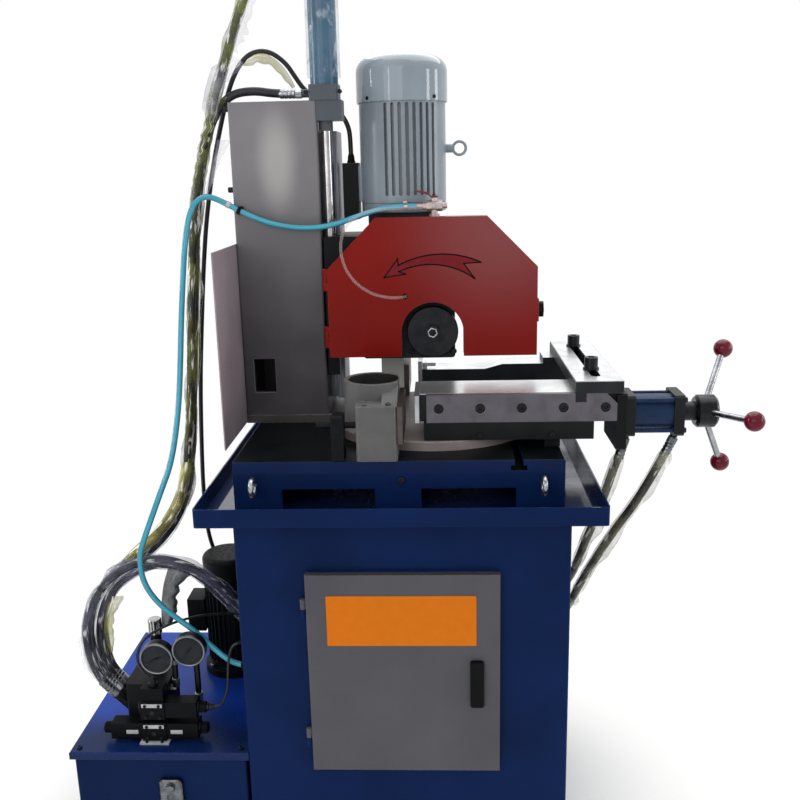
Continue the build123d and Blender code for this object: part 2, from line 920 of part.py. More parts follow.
# Spindle across the gearbox, out to the blade's plane
flange_y = (pivot_y - flange_front - flange_t / 2, pivot_y - flange_front + flange_t / 2)
with BuildPart() as spindle:
    bar((pivot_x, flange_y[1], spindle_z), (pivot_x, seat_y[1], spindle_z), spindle_r)
spindle.part.label = "spindle"
export_step(spindle.part, "parts/spindle.step")

# Blade flange with its centre bolt
with BuildPart() as blade_flange:
    bar((pivot_x, flange_y[0], spindle_z), (pivot_x, flange_y[1], spindle_z), flange_r)
    chamfer(blade_flange.edges().filter_by(GeomType.CIRCLE), length=flange_bevel)
    bar((pivot_x, flange_y[0] - flange_bolt_t, spindle_z), (pivot_x, flange_y[0], spindle_z), flange_bolt_r)
    hexagon((pivot_x, flange_y[0] - flange_bolt_t, spindle_z), (0, 1, 0), flange_socket_af,
            flange_bolt_t, Mode.SUBTRACT)
blade_flange.part.label = "blade_flange"
export_step(blade_flange.part, "parts/blade_flange.step")

# Worm wheel on the spindle, with straight-sided teeth
root_r = wheel_r - gear_module * 1.2
tip_r = wheel_r + gear_module
tooth_half = math.pi * gear_module / 4 - backlash / 2
with BuildPart() as worm_wheel:
    with BuildSketch(Plane(origin=(pivot_x, wheel_y[0], spindle_z), x_dir=(1, 0, 0), z_dir=(0, -1, 0))):
        Circle(root_r)
        with PolarLocations(0, wheel_teeth):
            with Locations(((root_r + tip_r) / 2 - 1, 0)):
                Trapezoid(2 * tooth_half + 2, tip_r - root_r + 2, 76, rotation=-90)
        Circle(spindle_r, mode=Mode.SUBTRACT)
    extrude(amount=-wheel_w)
worm_wheel.part.label = "worm_wheel"
export_step(worm_wheel.part, "parts/worm_wheel.step")

# Motor frame: grooved barrel with its flange and end shield
with BuildPart() as motor_frame:
    bar((motor_x, motor_y, motor_z), (motor_x, motor_y, frame_z[0]), motor_flange_r)
    chamfer(motor_frame.edges().filter_by(GeomType.CIRCLE), length=motor_flange_bevel)
    bar((motor_x, motor_y, frame_z[0]), (motor_x, motor_y, frame_z[1]), motor_frame_r)
    groove_span = (frame_z[0] + motor_groove_gap, frame_z[1] - motor_groove_gap)
    groove_l = groove_span[1] - groove_span[0]
    for groove in range(2 * motor_groove_count):
        place = groove % motor_groove_count - (motor_groove_count - 1) / 2
        turn = motor_groove_turn + 180 * (groove // motor_groove_count) + motor_groove_pitch * place
        heading = (math.cos(math.radians(turn)), math.sin(math.radians(turn)), 0)
        middle = (motor_x + motor_frame_r * heading[0], motor_y + motor_frame_r * heading[1])
        with BuildSketch(Plane(origin=(*middle, sum(groove_span) / 2), x_dir=(0, 0, 1), z_dir=heading)):
            SlotOverall(groove_l, motor_groove_w)
        extrude(amount=motor_groove_depth, both=True, mode=Mode.SUBTRACT)
    bar((motor_x, motor_y, motor_z - 1), (motor_x, motor_y, frame_z[1] - motor_shield_t), rotor_r + air_gap,
        Mode.SUBTRACT)
    bar((motor_x, motor_y, frame_z[1] - motor_shield_t - 1), (motor_x, motor_y, frame_z[1] + 1),
        motor_shaft_r + turn_gap, Mode.SUBTRACT)
    box_face = motor_x - motor_frame_r
    block(
        (box_face - box_pad_t, box_face + box_pad_inset),
        inset((motor_y - box_d / 2, motor_y + box_d / 2), box_pad_inset),
        (frame_z[0] + box_pad_z[0], frame_z[0] + box_pad_z[1]),
    )
    eye_level = (frame_z[0] + frame_z[1]) / 2 + motor_eye_rise
    boss_end = motor_x + motor_frame_r + motor_eye_boss_l
    boss_start = boss_end - 2 * motor_eye_boss_l
    bar((boss_start, motor_y, eye_level), (boss_end, motor_y, eye_level), motor_eye_boss_r)
    with Locations((boss_end + motor_eye_r, motor_y, eye_level)):
        Torus(motor_eye_r, motor_eye_wire_r, rotation=(90, 0, 0))
motor_frame.part.label = "motor_frame"
export_step(motor_frame.part, "parts/motor_frame.step")

# Motor rotor with its cooling fan, and the worm's single thread round the shaft's lower end
fan_z = (frame_z[1] + fan_gap, frame_z[1] + fan_gap + fan_h)
rotor_mid = (frame_z[0] + frame_z[1] - motor_shield_t) / 2
shaft_z = (gearbox_z[0] + worm_foot_gap + 1, fan_z[0])
lead = math.pi * gear_module
thread_half = math.pi * gear_module / 4 - backlash / 2
thread_turns = math.floor((worm_l - 2 * lead) / lead)
worm_root_r = worm_r - gear_module * 1.1
thread_depth = worm_r + gear_module - worm_root_r
with BuildPart() as motor_rotor:
    bar((motor_x, motor_y, shaft_z[0]), (motor_x, motor_y, shaft_z[1]), motor_shaft_r)
    bar((motor_x, motor_y, spindle_z - worm_l / 2), (motor_x, motor_y, spindle_z + worm_l / 2), worm_root_r)
    with BuildLine() as thread_path:
        Helix(lead, lead * thread_turns, worm_root_r,
              center=(motor_x, motor_y, spindle_z - lead * thread_turns / 2))
    with BuildSketch(Plane(origin=thread_path.line @ 0, x_dir=(1, 0, 0), z_dir=thread_path.line % 0)):
        with BuildLine():
            Polyline(
                (-thread_sink, -thread_half - thread_slope),
                (thread_depth, -thread_half + thread_slope),
                (thread_depth, thread_half - thread_slope),
                (-thread_sink, thread_half + thread_slope),
                close=True,
            )
        make_face()
    sweep(path=thread_path.line, is_frenet=True)
    bar((motor_x, motor_y, rotor_mid - rotor_h / 2), (motor_x, motor_y, rotor_mid + rotor_h / 2), rotor_r)
    bar((motor_x, motor_y, fan_z[0]), (motor_x, motor_y, fan_z[0] + fan_plate_t), fan_r)
    bar((motor_x, motor_y, fan_z[0]), (motor_x, motor_y, fan_z[1]), fan_hub_r)
    for blade in range(fan_blades):
        turn = 360 * blade / fan_blades
        with Locations(Location((motor_x, motor_y, (fan_z[0] + fan_z[1]) / 2), (0, 0, turn))):
            with Locations(((fan_hub_r + fan_r) / 2 - 2, 0, 0)):
                Box(fan_r - fan_hub_r, fan_blade_t, fan_h)
motor_rotor.part.label = "motor_rotor"
export_step(motor_rotor.part, "parts/motor_rotor.step")

# Fan cowl: deep drawn cover with air slots in its top
cowl_z = (frame_z[1] - cowl_lap, frame_z[1] - cowl_lap + cowl_h)
with BuildPart() as fan_cowl:
    bar((motor_x, motor_y, cowl_z[0]), (motor_x, motor_y, cowl_z[1]), cowl_r)
    fillet(fan_cowl.faces().sort_by(Axis.Z)[-1].edges(), radius=cowl_edge_r)
    offset(amount=-cowl_t, openings=fan_cowl.faces().sort_by(Axis.Z)[0])
    slot_count = math.floor((cowl_r - cowl_edge_r) / (2 * cowl_slot_w))
    for row in range(-slot_count + 1, slot_count):
        reach = (cowl_r - cowl_edge_r) ** 2 - (2 * cowl_slot_w * row) ** 2
        half = math.sqrt(reach) - cowl_slot_w
        if half > 2 * cowl_slot_w:
            for side in (-1, 1):
                slot_x = motor_x + side * (half + cowl_slot_w) / 2
                with Locations((slot_x, motor_y + 2 * cowl_slot_w * row, cowl_z[1])):
                    Box(half - cowl_slot_w, cowl_slot_w, 4 * cowl_t, mode=Mode.SUBTRACT)
    with Locations((motor_x, motor_y, frame_z[1] - motor_groove_gap / 4)):
        with PolarLocations((motor_frame_r + cowl_r - cowl_t) / 2, 4, start_angle=45):
            Box(cowl_r - motor_frame_r - cowl_t + 2 * cowl_foot_sink, cowl_foot_w, motor_groove_gap / 2)
    bar((motor_x, motor_y, cowl_z[0] - 1), (motor_x, motor_y, frame_z[1] + 1), motor_frame_r, Mode.SUBTRACT)
fan_cowl.part.label = "fan_cowl"
export_step(fan_cowl.part, "parts/fan_cowl.step")

# Terminal box on the motor's column side
with BuildPart() as terminal_box:
    block(
        (box_face - box_pad_t - box_w, box_face - box_pad_t),
        (motor_y - box_d / 2, motor_y + box_d / 2),
        (frame_z[0] - box_drop, frame_z[0] - box_drop + box_h),
    )
    fillet(terminal_box.edges().filter_by(Axis.X), radius=box_corner_r)
terminal_box.part.label = "terminal_box"
export_step(terminal_box.part, "parts/terminal_box.step")

# Outline of the guard, seen from the front, grown by an amount
def guard_outline(grow, bottom):
    return [
        (guard_x[0] - grow, spindle_z - guard_drop - bottom),
        (guard_x[0] - grow, spindle_z + guard_shoulder + grow * 0.4),
        (pivot_x - guard_top_half_w - grow * 0.4, guard_top_z + grow),
        (pivot_x + guard_top_half_w + grow * 0.4, guard_top_z + grow),
        (guard_x[1] + grow, spindle_z + guard_shoulder + grow * 0.4),
        (guard_x[1] + grow, spindle_z - guard_drop - bottom),
    ]


# Slab of the guard's outline between two planes that face the operator
def guard_slab(span, grow, bottom, mode=Mode.ADD):
    with BuildSketch(Plane(origin=(0, span[1], 0), x_dir=(1, 0, 0), z_dir=(0, -1, 0))) as face:
        with BuildLine():
            Polyline(*guard_outline(grow, bottom), close=True)
        make_face()
    extrude(face.sketch, amount=span[1] - span[0], mode=mode)


# Arch cut for the spindle flange
def guard_arch(span):
    bar((pivot_x, span[0] - 1, spindle_z), (pivot_x, span[1] + 1, spindle_z), guard_arch_r, Mode.SUBTRACT)
    block(
        (pivot_x - guard_arch_r, pivot_x + guard_arch_r),
        inset(span, -1),
        (spindle_z - guard_drop - 1, spindle_z),
        Mode.SUBTRACT,
    )


# Guard shell: back plate and rim, open below and towards the operator, with the fixed hinge halves
valve_at = (pivot_x + valve_x, (guard_y[0] + guard_y[1]) / 2 + valve_shift)
knuckle_levels = [spindle_z + rise for rise in guard_hinge_z]
with BuildPart() as guard_shell:
    guard_slab(guard_y, 0, 0)
    guard_slab((guard_y[0] - 1, guard_y[1] - guard_sheet), -guard_sheet, 1, Mode.SUBTRACT)
    guard_arch(guard_y)
    bar((*valve_at, guard_top_z - guard_sheet - 1), (*valve_at, guard_top_z + 1), valve_nipple_r + bolt_gap,
        Mode.SUBTRACT)
    for level in knuckle_levels:
        span = (level, level + guard_hinge_h)
        bar((guard_pin_x, guard_pin_y, span[0]), (guard_pin_x, guard_pin_y, span[1]), guard_hinge_r)
        block((guard_x[0] - guard_sheet, guard_x[0] + 1), (guard_pin_y, guard_y[0] + guard_d / 2), span)
        pin = (level - guard_hinge_h, level + 2 * guard_hinge_h)
        bar((guard_pin_x, guard_pin_y, pin[0]), (guard_pin_x, guard_pin_y, pin[1]), guard_pin_r)
guard_shell.part.label = "guard_shell"
export_step(guard_shell.part, "parts/guard_shell.step")

# Guard door: front plate with hinge knuckles on its left and a lip for the knob on its right
knob_z = spindle_z + guard_knob_z
lip_x = (guard_x[1] + panel_gap, guard_x[1] + panel_gap + guard_sheet)
with BuildPart() as guard_door:
    guard_slab(door_plate_y, 0, 0)
    block((guard_x[0] - 1, guard_x[0] + 1), inset(door_plate_y, -1),
          (spindle_z - guard_drop - 1, spindle_z + guard_shoulder + 2), Mode.SUBTRACT)
    guard_arch(door_plate_y)
    bar((pivot_x + drip_hole_x, door_plate_y[0] - 1, spindle_z + drip_hole_z),
        (pivot_x + drip_hole_x, door_plate_y[1] + 1, spindle_z + drip_hole_z), drip_hole_r, Mode.SUBTRACT)
    block((guard_x[1] - 2, lip_x[1]), door_plate_y, (knob_z - guard_lip_h / 2, knob_z + guard_lip_h / 2))
    block(lip_x, (door_plate_y[0], door_plate_y[1] + guard_lip_d),
          (knob_z - guard_lip_h / 2, knob_z + guard_lip_h / 2))
    for level in knuckle_levels:
        for base in (level - guard_hinge_h, level + guard_hinge_h):
            span = (base + panel_gap, base + guard_hinge_h - panel_gap)
            bar((guard_pin_x, guard_pin_y, span[0]), (guard_pin_x, guard_pin_y, span[1]), guard_hinge_r)
            block((guard_pin_x, guard_x[0] + 2), door_plate_y, span)
            bar((guard_pin_x, guard_pin_y, span[0] - 1), (guard_pin_x, guard_pin_y, span[1] + 1),
                guard_pin_r + turn_gap, Mode.SUBTRACT)
    knob_y = door_plate_y[1] + guard_lip_d / 2
    bar((lip_x[0] - 1, knob_y, knob_z), (lip_x[1] + 1, knob_y, knob_z), guard_screw_r + turn_gap,
        Mode.SUBTRACT)
guard_door.part.label = "guard_door"
export_step(guard_door.part, "parts/guard_door.step")

# Guard knob: quarter-turn screw through the door's lip
with BuildPart() as guard_knob:
    bar((lip_x[1] + panel_gap, knob_y, knob_z), (lip_x[1] + panel_gap + guard_knob_t, knob_y, knob_z),
        guard_knob_r)
    with Locations((lip_x[1] + panel_gap + guard_knob_t / 2, knob_y, knob_z)):
        with Locations(Rotation(0, 90, 0)):
            with PolarLocations(guard_knob_r + guard_knob_notch_r / 2, guard_knob_notches):
                Cylinder(guard_knob_notch_r, 2 * guard_knob_t, mode=Mode.SUBTRACT)
    bar((lip_x[0], knob_y, knob_z), (lip_x[1] + panel_gap, knob_y, knob_z), guard_screw_r)
guard_knob.part.label = "guard_knob"
export_step(guard_knob.part, "parts/guard_knob.step")

# Coolant valve: ball valve on a nipple through the guard's top, with a hose barb to the left
stem_z = guard_top_z + valve_z
valve_x_span = (valve_at[0] - valve_body_l / 2, valve_at[0] + valve_body_l / 2)
lever_z = stem_z + valve_body_r + lever_gap
barb_x = valve_x_span[0] - valve_nipple_l
drip_start_y = valve_at[1] - valve_body_r - valve_nipple_l / 2
with BuildPart() as coolant_valve:
    hexagon((valve_x_span[0], valve_at[1], stem_z), (1, 0, 0), 2 * valve_body_r, valve_body_l)
    bar((*valve_at, guard_top_z - guard_sheet), (*valve_at, stem_z), valve_nipple_r)
    hexagon((*valve_at, guard_top_z), (0, 0, 1), 2 * (valve_nipple_r + valve_nut / 2), valve_nut)
    bar((barb_x, valve_at[1], stem_z), (valve_x_span[0], valve_at[1], stem_z), valve_barb_r)
    hexagon((valve_x_span[0] - valve_hose_nut, valve_at[1], stem_z), (1, 0, 0), 3 * valve_barb_r, valve_hose_nut)
    bar((valve_x_span[1], valve_at[1], stem_z), (valve_x_span[1] + valve_nipple_l / 2, valve_at[1], stem_z),
        valve_nipple_r)
    bar((*valve_at, stem_z), (*valve_at, lever_z - panel_gap), valve_collar_r)
    bar((valve_at[0], drip_start_y, stem_z), (*valve_at, stem_z), drip_d / 2 + clip_sink / 3)
coolant_valve.part.label = "coolant_valve"
export_step(coolant_valve.part, "parts/coolant_valve.step")

# Coolant lever: flat red handle on the valve's stem, cranked upwards
with BuildPart() as coolant_lever:
    block((valve_at[0] - lever_seat, valve_at[0] + lever_seat),
          (valve_at[1] - lever_w / 2, valve_at[1] + lever_w / 2), (lever_z, lever_z + lever_t))
    with BuildSketch(Plane(origin=(0, valve_at[1] + lever_w / 2, 0), x_dir=(1, 0, 0), z_dir=(0, -1, 0))):
        with BuildLine():
            Polyline(
                (valve_at[0] - lever_seat + 1, lever_z),
                (valve_at[0] - lever_seat + 1, lever_z + lever_t),
                (valve_at[0] - lever_bend, lever_z + lever_t + lever_step),
                (valve_at[0] - lever_l, lever_z + lever_t + lever_rise),
                (valve_at[0] - lever_l, lever_z + lever_rise),
                (valve_at[0] - lever_bend, lever_z + lever_step - lever_t / 2),
                close=True,
            )
        make_face()
    extrude(amount=lever_w)
    bar((*valve_at, lever_z + lever_t), (*valve_at, lever_z + lever_t + lever_nut_h), valve_stem_r)
coolant_lever.part.label = "coolant_lever"
export_step(coolant_lever.part, "parts/coolant_lever.step")

# Fixed jaws: front casting with its bowl over the turntable, and a plainer rear one
jaw_back_x = jaw_x - jaw_plate_t
front_foot_y = (-table_d / 2 - jaw_over, pivot_y - disc_r + jaw_disc_gap)
bowl_at = (jaw_x - bowl_r, pivot_y - bowl_y)
bowl_z = (table_z + bowl_rise, table_z + bowl_rise + bowl_h)
shelf_z = disc_z[1] + jaw_clear
rear_foot_y = (table_d / 2 - rear_jaw_foot_d, table_d / 2)
rear_jaw_y = (rear_foot_y[0] - rear_jaw_d, rear_foot_y[1])
with BuildPart() as fixed_jaws:
    block((jaw_x - jaw_block_w, jaw_back_x), front_foot_y, (table_z, table_z + jaw_block_h))
    chamfer(fixed_jaws.edges().filter_by(Axis.Z), length=jaw_bevel)
    block((jaw_x - jaw_block_w + jaw_shelf_inset, jaw_back_x), (front_foot_y[1] - 1, bowl_at[1] + bowl_r / 2),
          (shelf_z, bowl_z[0] + bowl_wall))
    bar((bowl_at[0], bowl_at[1], bowl_z[0]), (bowl_at[0], bowl_at[1], bowl_z[1]), bowl_r)
    with BuildSketch(Plane(origin=(jaw_back_x, 0, 0), x_dir=(0, 1, 0), z_dir=(1, 0, 0))):
        with BuildLine():
            Polyline(
                (front_foot_y[0] + jaw_rib_inset, table_z + jaw_block_h - jaw_rib_drop),
                (bowl_at[1] - bowl_r / 2, bowl_z[1] - bowl_rib_drop),
                (bowl_at[1] + bowl_r, bowl_z[1] - bowl_rib_drop),
                (bowl_at[1] + bowl_r, shelf_z),
                (front_foot_y[0] + jaw_rib_inset, shelf_z),
                close=True,
            )
        make_face()
    extrude(amount=-bowl_r / 2)
    bar((bowl_at[0], bowl_at[1], bowl_z[0] + bowl_wall), (bowl_at[0], bowl_at[1], bowl_z[1] + 1),
        bowl_r - bowl_wall, Mode.SUBTRACT)
    block((jaw_back_x, jaw_back_x + 2 * bowl_r), (bowl_at[1] - 2 * bowl_r, bowl_at[1] + 2 * bowl_r),
          inset(bowl_z, -bowl_wall), Mode.SUBTRACT)
    for offset_x in jaw_screw_x:
        seat = (jaw_x - offset_x, front_foot_y[0] + jaw_screw_y)
        bar((*seat, table_z + jaw_block_h - jaw_screw_depth), (*seat, bowl_z[1]), jaw_screw_r, Mode.SUBTRACT)
    block((jaw_x - rear_jaw_w, jaw_back_x), rear_foot_y, (table_z, table_z + rear_jaw_h))
    block((jaw_x - rear_jaw_w, jaw_back_x), (rear_jaw_y[0], rear_foot_y[0] + 1),
          (shelf_z, table_z + rear_jaw_h))
fixed_jaws.part.label = "fixed_jaws"
export_step(fixed_jaws.part, "parts/fixed_jaws.step")

# Hardened plates on the fixed jaws
plate_top = table_z + jaw_block_h
with BuildPart() as fixed_jaw_plates:
    block((jaw_back_x, jaw_x), (front_foot_y[0], bowl_at[1] + bowl_r), (shelf_z, plate_top))
    block((jaw_back_x, jaw_x), rear_jaw_y, (shelf_z, plate_top))
    chamfer(fixed_jaw_plates.edges().filter_by(Axis.Z), length=jaw_plate_edge)
fixed_jaw_plates.part.label = "fixed_jaw_plates"
export_step(fixed_jaw_plates.part, "parts/fixed_jaw_plates.step")

# Swivel stop: block on the table's front edge with a rod across to the fixed jaw
stop_x = (jaw_x - jaw_block_w - stop_gap - stop_w, jaw_x - jaw_block_w - stop_gap)
stop_y = (front_foot_y[0] + stop_inset, front_foot_y[0] + stop_inset + stop_d)
with BuildPart() as swivel_stop:
    block(stop_x, stop_y, (table_z, table_z + stop_h))
    chamfer(swivel_stop.faces().sort_by(Axis.Z)[-1].edges(), length=stop_bevel)
    bar((stop_x[0] - stop_rod_over, stop_y[0] + stop_d / 2, table_z + stop_rod_z),
        (jaw_x - jaw_block_w, stop_y[0] + stop_d / 2, table_z + stop_rod_z), stop_rod_r)
swivel_stop.part.label = "swivel_stop"
export_step(swivel_stop.part, "parts/swivel_stop.step")


# Dovetail rail section along X, let out by a gap
def dovetail(middle_y, base_z, half_w, undercut, height, span, gap, mode=Mode.ADD):
    with BuildSketch(Plane(origin=(span[0], 0, 0), x_dir=(0, 1, 0), z_dir=(1, 0, 0))) as face:
        with BuildLine():
            Polyline(
                (middle_y - half_w + undercut - gap, base_z),
                (middle_y - half_w - gap, base_z + height + gap),
                (middle_y + half_w + gap, base_z + height + gap),
                (middle_y + half_w - undercut + gap, base_z),
                close=True,
            )
        make_face()
    extrude(face.sketch, amount=span[1] - span[0], mode=mode)


# Vice bed: two beds with dovetail rails, joined by a foot on the table's right edge
bed_x = (pivot_x + bed_left, pivot_x + bed_right)
front_bed_x = (pivot_x + front_bed_left, pivot_x + bed_right)
bed_foot_x = (pivot_x + disc_r + bed_foot_gap, table_x[1])
rear_mid_y = pivot_y + rear_vice_y
with BuildPart() as vice_bed:
    block(front_bed_x, front_y, bed_z)
    block(bed_x, rear_y, rear_bed_z)
    block(bed_foot_x, (front_y[0] + bed_foot_inset, rear_y[1]), (table_z, bed_z[0]))
    block(bed_foot_x, (front_y[1] - 1, rear_y[0] + 1), (bed_z[0], rear_bed_z[1]))
    dovetail(screw_y, bed_z[1], rail_half_w, rail_undercut, rail_h, bed_x, 0)
    dovetail(rear_mid_y, rear_bed_z[1], rear_rail_half_w, rear_rail_undercut, rear_rail_h, bed_x, 0)
    block(inset(front_bed_x, -1), (screw_y - screw_channel_half_w, screw_y + screw_channel_half_w),
          (bed_z[1] - screw_channel_depth, bed_z[1] + rail_h + 1), Mode.SUBTRACT)
vice_bed.part.label = "vice_bed"
export_step(vice_bed.part, "parts/vice_bed.step")

# Vice nut in the bed's channel
nut_x = (bed_x[1] - vice_nut_inset - vice_nut_l, bed_x[1] - vice_nut_inset)
with BuildPart() as vice_nut:
    block(nut_x, (screw_y - screw_channel_half_w, screw_y + screw_channel_half_w),
          (bed_z[1] - screw_channel_depth, screw_z + vice_screw_r + vice_nut_cover))
    bar((nut_x[0] - 1, screw_y, screw_z), (nut_x[1] + 1, screw_y, screw_z), vice_screw_r + turn_gap,
        Mode.SUBTRACT)
vice_nut.part.label = "vice_nut"
export_step(vice_nut.part, "parts/vice_nut.step")

# Front saddle on its dovetail
gib_y = (front_y[0], front_y[0] + gib_t)
screw_level = saddle_z[0] + gib_screw_rise
yoke_bolts = [(yoke_x[0] + yoke_w / 2, pivot_y + offset_y) for offset_y in yoke_bolt_y]
screw_places = [gib_x[0] + gib_screw_first + gib_screw_pitch * k for k in range(gib_screw_count)]
with BuildPart() as front_saddle:
    block(saddle_x, (gib_y[1], front_y[1]), (saddle_z[0] + slide_gap, saddle_z[1]))
    chamfer(front_saddle.faces().sort_by(Axis.Z)[-1].edges(), length=saddle_edge)
    dovetail(screw_y, bed_z[1], rail_half_w, rail_undercut, rail_h, inset(saddle_x, -1), slide_gap,
             Mode.SUBTRACT)
    block(inset(saddle_x, -1), (screw_y - screw_channel_half_w - 1, screw_y + screw_channel_half_w + 1),
          (saddle_z[0] - 1, screw_z + vice_screw_r + saddle_screw_room), Mode.SUBTRACT)
    for place in screw_places:
        bar((place, gib_y[1] - 1, screw_level), (place, gib_y[1] + gib_shank_l, screw_level),
            gib_shank_r + bolt_gap, Mode.SUBTRACT)
    bar((*yoke_bolts[0], saddle_z[1] - yoke_shank_l), (*yoke_bolts[0], saddle_z[1] + 1),
        yoke_shank_r + bolt_gap, Mode.SUBTRACT)
front_saddle.part.label = "front_saddle"
export_step(front_saddle.part, "parts/front_saddle.step")

# Gib plate on the saddle's front, notched for the yoke's leg
with BuildPart() as gib_plate:
    with BuildSketch(Plane(origin=(0, gib_y[1], 0), x_dir=(1, 0, 0), z_dir=(0, -1, 0))):
        with BuildLine():
            Polyline(
                (gib_x[0], saddle_z[0] + slide_gap),
                (gib_x[0], saddle_z[1]),
                (gib_x[1] - gib_chamfer, saddle_z[1]),
                (gib_x[1], saddle_z[1] - gib_chamfer),
                (gib_x[1], saddle_z[0] + slide_gap),
                close=True,
            )
        make_face()
    extrude(amount=gib_t)
    block((yoke_x[0] - bolt_gap, yoke_x[0] + yoke_leg_w + bolt_gap), inset(gib_y, -1),
          (saddle_z[1] - yoke_leg_h - bolt_gap, saddle_z[1] + 1), Mode.SUBTRACT)
    for place in screw_places:
        bar((place, gib_y[0] - 1, screw_level), (place, gib_y[0] + counterbore_depth, screw_level),
            counterbore_r, Mode.SUBTRACT)
        bar((place, gib_y[0], screw_level), (place, gib_y[1] + 1, screw_level), gib_shank_r + bolt_gap,
            Mode.SUBTRACT)
gib_plate.part.label = "gib_plate"
export_step(gib_plate.part, "parts/gib_plate.step")

# Rear saddle: low bar that ramps up to the yoke's seat
rear_saddle_z = rear_bed_z[1]
with BuildPart() as rear_saddle:
    with BuildSketch(Plane(origin=(0, rear_y[1], 0), x_dir=(1, 0, 0), z_dir=(0, -1, 0))):
        with BuildLine():
            Polyline(
                (saddle_x[0], rear_saddle_z + slide_gap),
                (saddle_x[0], rear_saddle_z + rear_low_h),
                (pivot_x + rear_ramp[0], rear_saddle_z + rear_low_h),
                (pivot_x + rear_ramp[1], rear_saddle_z + rear_mid_h),
                (pivot_x + rear_block_x, rear_saddle_z + rear_mid_h),
                (pivot_x + rear_block_x, saddle_z[1]),
                (saddle_x[1], saddle_z[1]),
                (saddle_x[1], rear_saddle_z + slide_gap),
                close=True,
            )
        make_face()
    extrude(amount=rear_vice_w)
    dovetail(rear_mid_y, rear_bed_z[1], rear_rail_half_w, rear_rail_undercut, rear_rail_h,
             inset(saddle_x, -1), slide_gap, Mode.SUBTRACT)
    bar((*yoke_bolts[1], saddle_z[1] - yoke_shank_l), (*yoke_bolts[1], saddle_z[1] + 1),
        yoke_shank_r + bolt_gap, Mode.SUBTRACT)
rear_saddle.part.label = "rear_saddle"
export_step(rear_saddle.part, "parts/rear_saddle.step")

# Moving jaw plates on the saddles' ends, the rear one with its clamp screw
rear_plate_z = (rear_saddle_z + slide_gap, rear_saddle_z + rear_plate_h)
rear_bolt_at = (rear_y[0] + rear_jaw_bolt_y, rear_saddle_z + rear_low_h + rear_jaw_nut_r + rear_jaw_nut_gap)
with BuildPart() as moving_jaw_plates:
    block((moving_x, saddle_x[0]), front_y, (saddle_z[0] + slide_gap, saddle_z[1] - front_plate_drop))
    block((moving_x, saddle_x[0]), rear_y, rear_plate_z)
    chamfer(moving_jaw_plates.edges().filter_by(Axis.Z), length=jaw_plate_edge)
    bar((saddle_x[0], *rear_bolt_at), (saddle_x[0] + rear_jaw_bolt_l, *rear_bolt_at), rear_jaw_bolt_r)
    hexagon((saddle_x[0], *rear_bolt_at), (1, 0, 0), 2 * (rear_jaw_nut_r - 2 * rear_jaw_nut_gap),
            rear_jaw_nut_t)
moving_jaw_plates.part.label = "moving_jaw_plates"
export_step(moving_jaw_plates.part, "parts/moving_jaw_plates.step")

# Yoke plate that ties the two saddles, with a long slot for its bolts
yoke_y = (front_y[0], rear_y[1] + yoke_over)
yoke_z = (saddle_z[1], saddle_z[1] + yoke_t)
with BuildPart() as yoke:
    block(yoke_x, yoke_y, yoke_z)
    chamfer(yoke.faces().sort_by(Axis.Z)[-1].edges(), length=yoke_edge)
    slot_middle = yoke_bolts[1][1] + yoke_slot_over - yoke_slot_l / 2
    with BuildSketch(Plane(origin=(yoke_bolts[1][0], slot_middle, yoke_z[0] - 1))):
        SlotOverall(yoke_slot_l, yoke_slot_w, rotation=90)
    extrude(amount=yoke_t + 2, mode=Mode.SUBTRACT)
    block((yoke_x[0], yoke_x[0] + yoke_leg_w), gib_y, (yoke_z[0] - yoke_leg_h, yoke_z[0]))
yoke.part.label = "yoke"
export_step(yoke.part, "parts/yoke.step")

# Vice bolts: the gib plate's socket screws and the yoke's two large ones with washers
with BuildPart() as vice_bolts:
    seat_y = gib_y[0] + counterbore_depth
    for place in screw_places:
        bar((place, seat_y - gib_head_h, screw_level), (place, seat_y, screw_level), gib_head_r)
        bar((place, seat_y, screw_level), (place, gib_y[1] + gib_shank_l - 2, screw_level), gib_shank_r)
        hexagon((place, seat_y - gib_head_h, screw_level), (0, 1, 0), gib_head_r, gib_head_h / 2,
                Mode.SUBTRACT)
    head_z = yoke_z[1] + yoke_washer_t
    for bolt in yoke_bolts:
        bar((*bolt, yoke_z[1]), (*bolt, head_z), yoke_washer_r)
        bar((*bolt, head_z), (*bolt, head_z + yoke_head_h), yoke_head_r)
        bar((*bolt, saddle_z[1] - yoke_shank_l + 2), (*bolt, head_z), yoke_shank_r)
        hexagon((*bolt, head_z + yoke_head_h), (0, 0, -1), yoke_head_r, yoke_head_h / 2, Mode.SUBTRACT)
vice_bolts.part.label = "vice_bolts"
export_step(vice_bolts.part, "parts/vice_bolts.step")

# End bracket that carries the vice cylinder
with BuildPart() as end_bracket:
    block(bracket_x, (front_y[0], front_y[0] + bracket_d),
          (saddle_z[0] - bracket_drop, saddle_z[0] + bracket_rise))
    chamfer(end_bracket.edges().filter_by(Axis.X), length=bracket_bevel)
    bar((bracket_x[0] - 1, screw_y, screw_z), (bracket_x[1] + 1, screw_y, screw_z), piston_rod_r + turn_gap,
        Mode.SUBTRACT)
end_bracket.part.label = "end_bracket"
export_step(end_bracket.part, "parts/end_bracket.step")

